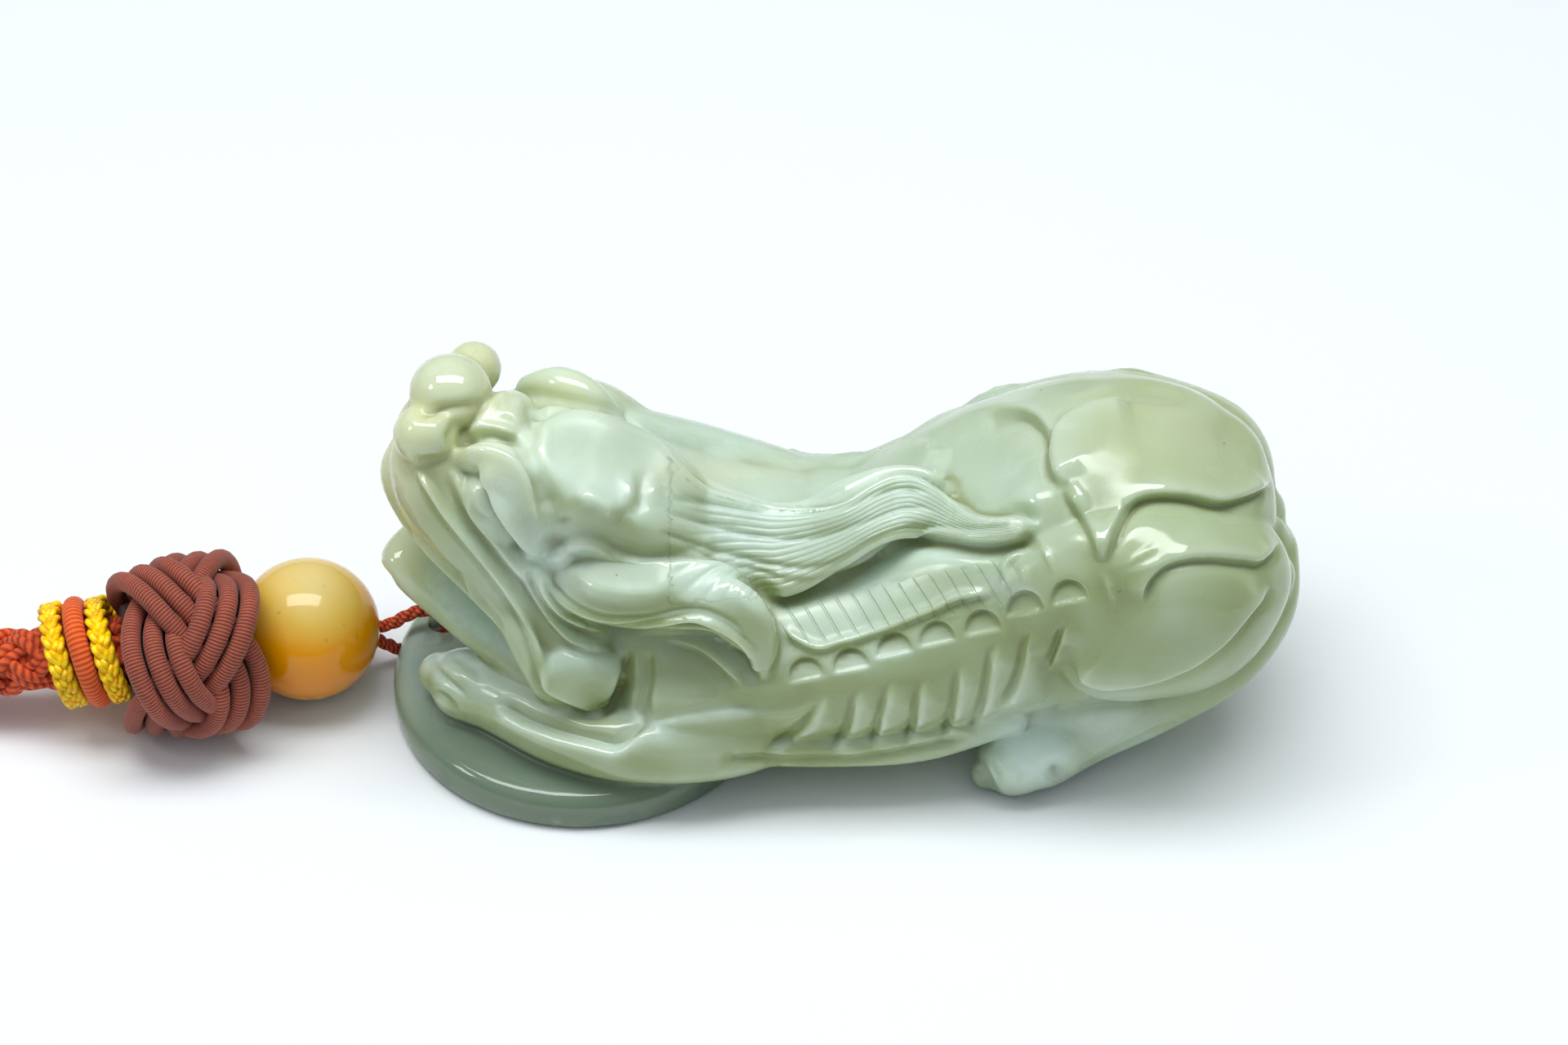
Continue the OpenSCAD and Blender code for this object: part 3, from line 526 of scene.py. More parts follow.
# Each form: the way its breadth lies, how square its section is, and a row for each section along it, in
# shares of the stone's length, width and height: middle x, y, z, half-breadth of the width, half-depth of
# the height.
carved_forms = {
    "trunk": ((0, 1, 0), 2.3, [
        [-0.256, 0, 0.287, 0.278, 0.175], [-0.181, 0, 0.306, 0.368, 0.212],
        [-0.075, -0.008, 0.319, 0.416, 0.235], [0.03, -0.02, 0.334, 0.404, 0.238],
        [0.12, -0.012, 0.385, 0.398, 0.29],
        [0.21, 0, 0.452, 0.39, 0.34], [0.3, 0, 0.5, 0.36, 0.365], [0.38, 0, 0.475, 0.3, 0.33],
        [0.424, 0, 0.45, 0.215, 0.25], [0.453, 0, 0.43, 0.08, 0.12]]),
    "belly": ((0, 1, 0), 2.3, [
        [-0.18, -0.312, 0.15, 0.056, 0.037], [-0.105, -0.326, 0.163, 0.09, 0.059],
        [0, -0.333, 0.169, 0.097, 0.062], [0.09, -0.326, 0.18, 0.094, 0.062],
        [0.18, -0.306, 0.212, 0.062, 0.05]]),
    "haunch": ((0, 1, 0), 2.3, [
        [0.173, -0.26, 0.416, 0.076, 0.116], [0.226, -0.253, 0.484, 0.167, 0.23],
        [0.3, -0.24, 0.52, 0.208, 0.265], [0.377, -0.207, 0.495, 0.2, 0.25],
        [0.43, -0.162, 0.47, 0.155, 0.2], [0.461, -0.12, 0.45, 0.065, 0.09]]),
    "haunch far": ((0, 1, 0), 2.3, [
        [0.098, 0.271, 0.43, 0.09, 0.145], [0.158, 0.271, 0.452, 0.145, 0.195],
        [0.226, 0.257, 0.485, 0.19, 0.222], [0.3, 0.24, 0.5, 0.208, 0.245],
        [0.377, 0.207, 0.485, 0.2, 0.235], [0.43, 0.162, 0.46, 0.155, 0.19],
        [0.461, 0.12, 0.445, 0.065, 0.088]]),
    "shin": ((0.3, 1, 0), 2.3, [
        [0.178, -0.334, 0.081, 0.056, 0.056], [0.208, -0.32, 0.1, 0.104, 0.091],
        [0.269, -0.267, 0.131, 0.09, 0.087], [0.341, -0.224, 0.188, 0.09, 0.087],
        [0.41, -0.16, 0.266, 0.097, 0.1], [0.45, -0.093, 0.375, 0.09, 0.1],
        [0.465, 0.004, 0.453, 0.056, 0.075]]),
    "hind foot": ((0.5, 1, 0), 2.3, [
        [0.242, -0.296, 0.112, 0.056, 0.05], [0.215, -0.309, 0.106, 0.097, 0.091],
        [0.189, -0.334, 0.081, 0.101, 0.081], [0.166, -0.344, 0.056, 0.076, 0.059],
        [0.157, -0.352, 0.05, 0.035, 0.037]]),
    "face": ((0.45, 0.89, 0), 2.6, [
        [-0.446, -0.007, 0.856, 0.083, 0.05], [-0.431, -0.014, 0.8, 0.167, 0.106],
        [-0.392, -0.031, 0.7, 0.222, 0.131], [-0.34, -0.042, 0.594, 0.257, 0.138],
        [-0.292, -0.035, 0.475, 0.285, 0.138], [-0.256, -0.021, 0.359, 0.292, 0.131],
        [-0.235, 0, 0.281, 0.243, 0.094]]),
    "neck": ((0, 1, 0), 2.4, [
        [-0.384, 0.007, 0.769, 0.139, 0.062], [-0.331, 0.01, 0.7, 0.215, 0.119],
        [-0.241, 0, 0.575, 0.26, 0.156], [-0.136, 0, 0.47, 0.3, 0.15], [-0.03, 0, 0.395, 0.31, 0.155],
        [0.06, 0, 0.36, 0.28, 0.15]]),
    "lip": ((0.8, -0.6, 0), 2.2, [
        [-0.467, 0.021, 0.748, 0.038, 0.041], [-0.475, -0.042, 0.721, 0.042, 0.044],
        [-0.455, -0.111, 0.66, 0.042, 0.044], [-0.427, -0.167, 0.611, 0.042, 0.044],
        [-0.384, -0.222, 0.536, 0.042, 0.044], [-0.351, -0.271, 0.477, 0.042, 0.044],
        [-0.332, -0.306, 0.396, 0.042, 0.044], [-0.319, -0.323, 0.321, 0.035, 0.037]]),
    "lip far": ((0.8, 0.6, 0), 2.2, [
        [-0.467, 0.021, 0.748, 0.038, 0.041], [-0.455, 0.09, 0.731, 0.042, 0.044],
        [-0.416, 0.16, 0.65, 0.042, 0.044], [-0.37, 0.222, 0.55, 0.042, 0.044],
        [-0.328, 0.271, 0.444, 0.042, 0.044], [-0.298, 0.299, 0.35, 0.035, 0.037]]),
    "jaw": ((0.45, 0.89, 0), 2.4, [
        [-0.485, 0.049, 0.405, 0.056, 0.025], [-0.473, 0.035, 0.425, 0.104, 0.047],
        [-0.428, 0.014, 0.356, 0.128, 0.056], [-0.369, -0.021, 0.294, 0.174, 0.062],
        [-0.301, -0.042, 0.256, 0.257, 0.087], [-0.248, -0.035, 0.256, 0.257, 0.094]]),
    "brow": ((0.8, 0, 0.6), 2.2, [
        [-0.402, -0.136, 0.841, 0.024, 0.025], [-0.369, -0.17, 0.869, 0.045, 0.041],
        [-0.343, -0.198, 0.829, 0.056, 0.047], [-0.33, -0.219, 0.745, 0.052, 0.047],
        [-0.327, -0.24, 0.67, 0.031, 0.031]]),
    "brow far": ((0.47, -0.65, 0.6), 2.2, [
        [-0.338, 0.15, 0.823, 0.03, 0.03], [-0.303, 0.12, 0.853, 0.048, 0.044],
        [-0.272, 0.089, 0.825, 0.058, 0.05], [-0.252, 0.076, 0.75, 0.052, 0.047],
        [-0.24, 0.082, 0.68, 0.031, 0.031]]),
    "forehead": ((0, 0.8, 0.6), 2.2, [
        [-0.325, -0.083, 0.852, 0.056, 0.037], [-0.295, -0.118, 0.785, 0.09, 0.07],
        [-0.243, -0.146, 0.742, 0.1, 0.085], [-0.2, -0.174, 0.7, 0.09, 0.075],
        [-0.166, -0.188, 0.67, 0.042, 0.037]]),
    "forehead far": ((0, 0.8, -0.6), 2.2, [
        [-0.345, 0.153, 0.785, 0.042, 0.031], [-0.309, 0.181, 0.755, 0.076, 0.056],
        [-0.266, 0.208, 0.71, 0.083, 0.066], [-0.214, 0.222, 0.625, 0.069, 0.054],
        [-0.161, 0.222, 0.59, 0.049, 0.044]]),
    "mane": ((0, 0.8, 0.6), 2.2, [
        [-0.233, -0.07, 0.69, 0.09, 0.06], [-0.157, -0.118, 0.632, 0.118, 0.075],
        [-0.088, -0.139, 0.575, 0.122, 0.075], [-0.028, -0.139, 0.597, 0.108, 0.069],
        [0.024, -0.118, 0.66, 0.104, 0.066], [0.076, -0.104, 0.693, 0.086, 0.056],
        [0.137, -0.111, 0.65, 0.05, 0.045], [0.2, -0.118, 0.66, 0.02, 0.022]]),
    "mane far": ((0, 0.8, -0.6), 2.2, [
        [-0.231, 0.181, 0.672, 0.083, 0.054], [-0.16, 0.208, 0.6, 0.076, 0.057],
        [-0.089, 0.222, 0.53, 0.069, 0.056], [-0.026, 0.229, 0.472, 0.069, 0.056],
        [0.028, 0.229, 0.497, 0.059, 0.05], [0.081, 0.222, 0.575, 0.028, 0.025]]),
    "leaf": ((0, 0.5, 0.87), 2.2, [
        [-0.317, -0.225, 0.57, 0.028, 0.019], [-0.281, -0.267, 0.558, 0.062, 0.041],
        [-0.233, -0.302, 0.558, 0.07, 0.047], [-0.182, -0.323, 0.563, 0.062, 0.047],
        [-0.13, -0.337, 0.57, 0.068, 0.047], [-0.096, -0.347, 0.507, 0.064, 0.041],
        [-0.081, -0.354, 0.388, 0.017, 0.019]]),
    "leaf top": ((0, 0.98, 0.2), 2.8, [
        [-0.29, -0.235, 0.595, 0.05, 0.03], [-0.26, -0.25, 0.602, 0.08, 0.042],
        [-0.22, -0.262, 0.605, 0.096, 0.046], [-0.182, -0.278, 0.606, 0.088, 0.046],
        [-0.14, -0.3, 0.585, 0.08, 0.045], [-0.112, -0.32, 0.55, 0.06, 0.038]]),
    "forehead front": ((0, 0.97, 0.22), 3.4, [
        [-0.322, -0.125, 0.838, 0.09, 0.05], [-0.292, -0.11, 0.785, 0.155, 0.1],
        [-0.243, -0.11, 0.722, 0.16, 0.117], [-0.2, -0.125, 0.672, 0.155, 0.11],
        [-0.16, -0.14, 0.622, 0.12, 0.075]]),
    "leaf far": ((0, 0.5, -0.87), 2.2, [
        [-0.309, 0.264, 0.562, 0.028, 0.019], [-0.271, 0.323, 0.519, 0.08, 0.041],
        [-0.218, 0.361, 0.469, 0.09, 0.047], [-0.166, 0.382, 0.438, 0.076, 0.047],
        [-0.12, 0.392, 0.419, 0.08, 0.047], [-0.09, 0.403, 0.356, 0.066, 0.041],
        [-0.078, 0.41, 0.269, 0.017, 0.019]]),
    "foreleg": ((0.4, 1, 0), 2.2, [
        [-0.026, -0.305, 0.182, 0.035, 0.037], [-0.089, -0.349, 0.184, 0.09, 0.082],
        [-0.159, -0.381, 0.181, 0.097, 0.092], [-0.239, -0.385, 0.175, 0.083, 0.085],
        [-0.311, -0.327, 0.17, 0.076, 0.08], [-0.376, -0.214, 0.166, 0.08, 0.078],
        [-0.418, -0.145, 0.162, 0.094, 0.078], [-0.443, -0.109, 0.156, 0.056, 0.05]]),
    "foreleg far": ((0.4, -1, 0), 2.2, [
        [-0.026, 0.305, 0.182, 0.035, 0.037], [-0.089, 0.349, 0.184, 0.09, 0.082],
        [-0.159, 0.385, 0.181, 0.097, 0.092], [-0.232, 0.392, 0.175, 0.083, 0.085],
        [-0.296, 0.351, 0.17, 0.076, 0.08], [-0.348, 0.275, 0.166, 0.08, 0.078],
        [-0.378, 0.235, 0.162, 0.094, 0.078], [-0.395, 0.21, 0.156, 0.056, 0.05]]),
}
# Rounded forms: middle and half-sizes in the same shares, and the turn about the upright in degrees. They
# are the balls of the nose, the eyes, the hinges of the jaw, the shoulders, the head, the chest and the
# hips.
round_forms = [
    ([-0.415, 0.014, 0.92], [0.044, 0.101, 0.08], 0), ([-0.44, -0.09, 0.875], [0.035, 0.076, 0.069], 0),
    ([-0.393, 0.125, 0.9], [0.03, 0.069, 0.062], 0), ([-0.361, -0.021, 0.845], [0.036, 0.111, 0.069], -27),
    ([-0.379, -0.194, 0.784], [0.017, 0.038, 0.053], 0), ([-0.307, 0.131, 0.784], [0.017, 0.038, 0.053], 0),
    ([-0.289, -0.299, 0.325], [0.053, 0.069, 0.094], 0), ([-0.289, 0.299, 0.325], [0.053, 0.069, 0.094], 0),
    ([-0.133, -0.278, 0.241], [0.108, 0.16, 0.188], 0), ([-0.133, 0.278, 0.241], [0.108, 0.16, 0.188], 0),
    ([-0.339, -0.139, 0.75], [0.068, 0.139, 0.125], 0), ([-0.18, -0.174, 0.53], [0.11, 0.14, 0.13], 0),
    ([-0.3, -0.014, 0.71], [0.09, 0.215, 0.155], 0), ([-0.2, 0, 0.19], [0.176, 0.376, 0.16], 0),
    ([0.25, -0.21, 0.19], [0.12, 0.14, 0.12], 0), ([0.25, 0.21, 0.19], [0.12, 0.14, 0.12], 0),
    ([-0.2, 0.19, 0.5], [0.12, 0.15, 0.16], 0), ([-0.241, -0.125, 0.61], [0.1, 0.139, 0.125], 0),
    ([-0.309, -0.146, 0.634], [0.053, 0.115, 0.125], 0)]
mirrored_forms = ["belly", "shin", "hind foot"]


def turned_form(rows, side, square, steps=8, sides=56):
    """One roughed-out form. Its sections are superellipses, across = a sgn(cos)|cos|^(2/n) and deep =
    b sgn(sin)|sin|^(2/n), set square to a smooth run through the rows, with quarter-ellipse ends."""
    rows = through(np.array(rows) * np.concatenate([stone, stone[1:]]), steps)
    middle, a, b = rows[:, :3], rows[:, 3], rows[:, 4]
    along = unit(np.gradient(middle, axis=0))
    u = np.radians([80, 68, 54, 38, 20])
    first_end = middle[0] - along[0] * min(a[0], b[0]) * np.sin(u)[:, None]
    last_end = middle[-1] + along[-1] * min(a[-1], b[-1]) * np.sin(u[::-1])[:, None]
    middle = np.vstack([first_end, middle, last_end])
    along = np.vstack([np.repeat(along[:1], len(u), 0), along, np.repeat(along[-1:], len(u), 0)])
    a = np.concatenate([a[0] * np.cos(u), a, a[-1] * np.cos(u[::-1])])
    b = np.concatenate([b[0] * np.cos(u), b, b[-1] * np.cos(u[::-1])])
    side = np.array(side, float)
    side = unit(side - (along @ side)[:, None] * along)
    deep = np.cross(along, side)
    angle = all_round(sides)
    x = np.sign(np.cos(angle)) * np.abs(np.cos(angle)) ** (2 / square)
    y = np.sign(np.sin(angle)) * np.abs(np.sin(angle)) ** (2 / square)
    across = middle[:, None] + (a[:, None] * x)[..., None] * side[:, None]
    return across + (b[:, None] * y)[..., None] * deep[:, None]


def ball_form(centre, half, turn, sides=56):
    """A rounded form: an ellipsoid of three half-sizes, turned about the upright."""
    rise = np.linspace(-0.5, 0.5, sides // 2 + 1)[1:-1, None] * math.pi
    angle = all_round(sides)
    half, turn = np.array(half) * stone, math.radians(turn)
    x, y = half[0] * np.cos(rise) * np.cos(angle), half[1] * np.cos(rise) * np.sin(angle)
    z = half[2] * np.sin(rise) + 0 * angle
    return np.array(centre) * stone + np.stack(
        [x * math.cos(turn) - y * math.sin(turn), x * math.sin(turn) + y * math.cos(turn), z], -1)


def closed_skins(stacks):
    """Closed skins over stacks of rings: quads between neighbouring rings, and a fan of triangles from the
    middle of each end ring."""
    points, faces, first = [], [], 0
    for rings in stacks:
        m, n = rings.shape[:2]
        i, j = np.meshgrid(np.arange(m - 1), np.arange(n), indexing="ij")
        k, a, e = (j + 1) % n, np.arange(n), m * n
        b = (a + 1) % n
        quads = np.stack([i * n + j, i * n + k, (i + 1) * n + k, (i + 1) * n + j], -1).reshape(-1, 4)
        faces += (first + quads).tolist()
        faces += (first + np.stack([e + 0 * a, b, a], -1)).tolist()
        faces += (first + np.stack([e + 1 + 0 * a, (m - 1) * n + a, (m - 1) * n + b], -1)).tolist()
        points += [rings.reshape(-1, 3), rings[:1].mean(1), rings[-1:].mean(1)]
        first += e + 2
    return np.concatenate(points), faces


def bare_mesh(name, points, faces):
    """A mesh of points in millimetres, made in metres."""
    mesh = bpy.data.meshes.new(name)
    mesh.from_pydata((points * mm).tolist(), [], faces)
    return mesh


def finished_by(mesh, kind, **settings):
    """A mesh as one modifier leaves it."""
    piece = bpy.data.objects.new("blank", mesh)
    bpy.context.scene.collection.objects.link(piece)
    modifier = piece.modifiers.new("work", kind)
    for key, value in settings.items():
        setattr(modifier, key, value)
    bpy.context.view_layer.update()
    done = bpy.data.meshes.new_from_object(piece.evaluated_get(bpy.context.evaluated_depsgraph_get()))
    bpy.data.objects.remove(piece)
    return done


def points_of(mesh):
    """The points of a mesh, in millimetres."""
    p = np.empty(len(mesh.vertices) * 3)
    mesh.vertices.foreach_get("co", p)
    return p.reshape(-1, 3) * 1000


def put_back(mesh, points):
    """Points in millimetres put back into their mesh."""
    mesh.vertices.foreach_set("co", (points * mm).ravel())
    mesh.update()


def edges_of(mesh):
    """The edges of a mesh, as pairs of points."""
    e = np.empty(len(mesh.edges) * 2, int)
    mesh.edges.foreach_get("vertices", e)
    return e.reshape(-1, 2)


def normals_of(mesh):
    """The outward direction at each point of a mesh."""
    n = np.empty(len(mesh.vertices) * 3)
    mesh.vertex_normals.foreach_get("vector", n)
    return n.reshape(-1, 3)


def rubbed(values, edges, rounds, pull=0.6):
    """Rubbing: each round moves every value part of the way to the average of its neighbours."""
    n = len(values)
    count = np.maximum(np.bincount(edges.ravel(), minlength=n), 1)[:, None]
    pull = np.broadcast_to(np.asarray(pull, float).reshape(-1, 1), (n, 1))
    one, other = edges.T
    for _ in range(rounds):
        near = np.stack([np.bincount(one, column[other], n) + np.bincount(other, column[one], n)
                         for column in values.T], 1)
        values = values + pull * (near / count - values)
    return values


# the coin, and the stone roughed out of all its forms
coin_place, coin_r, coin_t, bevel = -18.9, 14.3, 3.0, 1.0
rim = np.array([[coin_r * 0.5, 0], [coin_r - 0.3, 0], [coin_r, 0.3], [coin_r, coin_t - bevel],
                [coin_r - bevel * 0.4, coin_t - bevel * 0.3], [coin_r - bevel, coin_t],
                [coin_r * 0.5, coin_t]])
around = all_round(160)
coin = np.stack([coin_place + rim[:, :1] * np.cos(around), rim[:, :1] * np.sin(around),
                 rim[:, 1:] + 0 * around], -1)
stacks = [coin] + [ball_form(*form) for form in round_forms]
for name, (side, square, rows) in carved_forms.items():
    stacks.append(turned_form(rows, side, square))
    if name in mirrored_forms:
        other_rows = [[row[0], -row[1]] + row[2:] for row in rows]
        stacks.append(turned_form(other_rows, (side[0], -side[1], side[2]), square))
grain_size = 0.17
rough = bare_mesh("rough", *closed_skins(stacks))
rough = finished_by(rough, "REMESH", mode="VOXEL", voxel_size=grain_size * mm)

# the cuts: flat underside, and the hole and groove that take the thin cord
hole = thin_start[:2] + ahead[:2] * (turn_along + turn_r - 0.2)
hole_r, groove_half, groove_h, under_table = 1.2, 0.9, 1.8, -1.0
around = all_round(48)
levels = np.array([[under_table], [coin_t + 1.0]])
drill = np.stack([hole[0] + hole_r * np.cos(around) + 0 * levels,
                  hole[1] + hole_r * np.sin(around) + 0 * levels, 0 * around + levels], -1)
to_side = groove_half * np.array([-ahead[1], ahead[0]])
far_end = hole - 20 * ahead[:2]
corners = np.array([far_end + to_side, far_end - to_side, hole - to_side, hole + to_side])
channel = np.stack([np.column_stack([corners, np.full(4, level)]) for level in (under_table, groove_h)])
slab = np.array([[[-80, -40, z], [80, -40, z], [80, 40, z], [-80, 40, z]] for z in (-10.0, 0.0)], float)
for cutter in (slab, drill, channel):
    cutting = finished_by(bare_mesh("cut", *closed_skins([cutter])), "TRIANGULATE")
    tool = bpy.data.objects.new("cutter", cutting)
    bpy.context.scene.collection.objects.link(tool)
    rough = finished_by(rough, "BOOLEAN", object=tool, operation="DIFFERENCE", solver="MANIFOLD")
    bpy.data.objects.remove(tool)

place, edges = points_of(rough), edges_of(rough)
fixed = (place[:, 2] < 0.01) | (np.linalg.norm(place[:, :2] - hole, axis=1) < hole_r + 0.3)
pull = np.where(fixed, 0.0, 0.6)
place = rubbed(place, edges, 14, pull)


def seen(points, flank):
    """Where points are seen from the view, or in a mirror along the far flank: millimetres right and up on
    the plane through the view's centre, and the distance away."""
    d = points * [1, flank, 1] - camera_place
    depth = -d @ towards_camera
    up = np.array([0, math.sin(view_height), math.cos(view_height)])
    return np.stack([d[:, 0], d @ up], -1) / depth[:, None] * view_distance, depth


def nearest_depths(flat, depth, edge):
    """The least depth in each cell of a grid of 0.5 mm, which has so many empty cells at its edges, and the
    cell of each point."""
    cell = np.floor(flat * 2).astype(int)
    cell += edge - cell.min(0)
    cell = tuple(cell.T)
    nearest = np.full([across.max() + edge + 1 for across in cell], 1e9)
    np.minimum.at(nearest, cell, depth)
    return nearest, cell


def in_front(flat, depth):
    """Which points nothing hides: their depth is no more than 2.4 mm past the least in their cell."""
    nearest, cell = nearest_depths(flat, depth, 1)
    return nearest[cell] > depth - 2.4


def clear_of_edges(flat, depth):
    """One in the open, falling to nought beside a form that stands in front: the nearest depth within 1.5 mm
    is taken on a grid, and the share is 1 - (depth behind it - 3.2) / 2, held between nought and one."""
    nearest, cell = nearest_depths(flat, depth, 3)
    least = nearest.copy()
    for across in range(-3, 4):
        for up in range(-3, 4):
            if across * across + up * up <= 10:
                least = np.minimum(least, np.roll(nearest, (across, up), (0, 1)))
    return np.clip(1 - (depth - least[cell] - 3.2) / 2.0, 0, 1)


def stroke(flat, chosen, line, margin):
    """Distance from points to a smooth line, positive on its left, and how far along it the nearest place
    is. Only chosen points inside the line's box and its margin are worked out: the nearest place on each
    short piece is found by projection, and the closest piece kept."""
    line = through(line, 6)
    box = (chosen & (flat > line.min(0) - margin).all(1) & (flat < line.max(0) + margin).all(1)).nonzero()[0]
    a, ab = line[:-1], np.diff(line, axis=0)
    length = np.linalg.norm(ab, axis=1)
    away = flat[box, None] - a
    share = np.clip((away * ab).sum(-1) / length**2, 0, 1)
    gap = np.linalg.norm(away - share[..., None] * ab, axis=-1)
    best = gap.argmin(1)
    at = np.arange(len(box)), best
    left = np.sign(ab[best, 0] * away[at][:, 1] - ab[best, 1] * away[at][:, 0])
    run = length_run(line)
    return box, gap[at] * left, run[best] + share[at] * length[best], run[-1]


# The lines of the carving were marked on the photograph, in its pixels from the left and from the
# top. On the plane of the view 17 of them are taken as a millimetre.
picture_middle, pixels_per_mm = (960, 640), 17


def from_picture(line):
    """Marks in millimetres on the plane of the view, to a tenth, right and up from its middle."""
    across, down = np.array(line).T
    right, up = across - picture_middle[0], picture_middle[1] - down
    return np.round(np.stack([right, up], -1) / pixels_per_mm, 1)


def groove(depth, width, line, both=False):
    """A cut with a bell-shaped section, on the near flank or on both."""
    return "line", -depth, width, 0, 0, from_picture(line), both


def ridge(height, width, line, both=False):
    """A raised line with a bell-shaped section."""
    return "line", height, width, 0, 0, from_picture(line), both


def ledge(rise, rise_wide, fall, fall_wide, line, both=False):
    """A step: the stone rises towards the line on its left and falls away on its right."""
    return "ledge", rise, rise_wide, fall, fall_wide, from_picture(line), both


def cut(flat, chosen, marks):
    """The height of a set of marks. A groove or ridge is a bell of the distance from its line,
    exp(-(d/w)^2). A ledge is such a bell upwards on its left and one downwards on its right. All fade at
    their ends."""
    height = np.zeros(len(flat))
    for kind, up_by, up_wide, down_by, down_wide, line, _ in marks:
        box, gap, run, whole = stroke(flat, chosen, line, 2.2 * max(up_wide, down_wide))
        fade = np.clip(run / 1.2, 0, 1) * np.clip((whole - run) / 1.2, 0, 1)
        if kind == "line":
            shape = up_by * np.exp(-((gap / up_wide) ** 2))
        else:
            on_left = 0.5 + 0.5 * np.tanh(gap / 0.16)
            shape = (on_left * up_by * np.exp(-((gap / up_wide) ** 2))
                     - (1 - on_left) * down_by * np.exp(-((gap / down_wide) ** 2)))
        height[box] += shape * fade
    return height


# Lines of the carving, as marked on the photograph.
# the lower and the upper edge of the mane's lock
mane_under = [[938, 731], [965, 728], [1000, 712], [1040, 690], [1075, 668], [1110, 657], [1150, 659],
              [1200, 668], [1240, 664], [1268, 652]]
mane_over = [[1275, 642], [1245, 634], [1215, 633], [1190, 626], [1170, 611], [1150, 592], [1125, 579],
             [1095, 578], [1065, 592], [1035, 613], [1000, 622], [950, 621], [900, 610], [860, 595],
             [830, 570], [812, 545], [785, 528], [745, 512], [700, 503], [650, 500]]
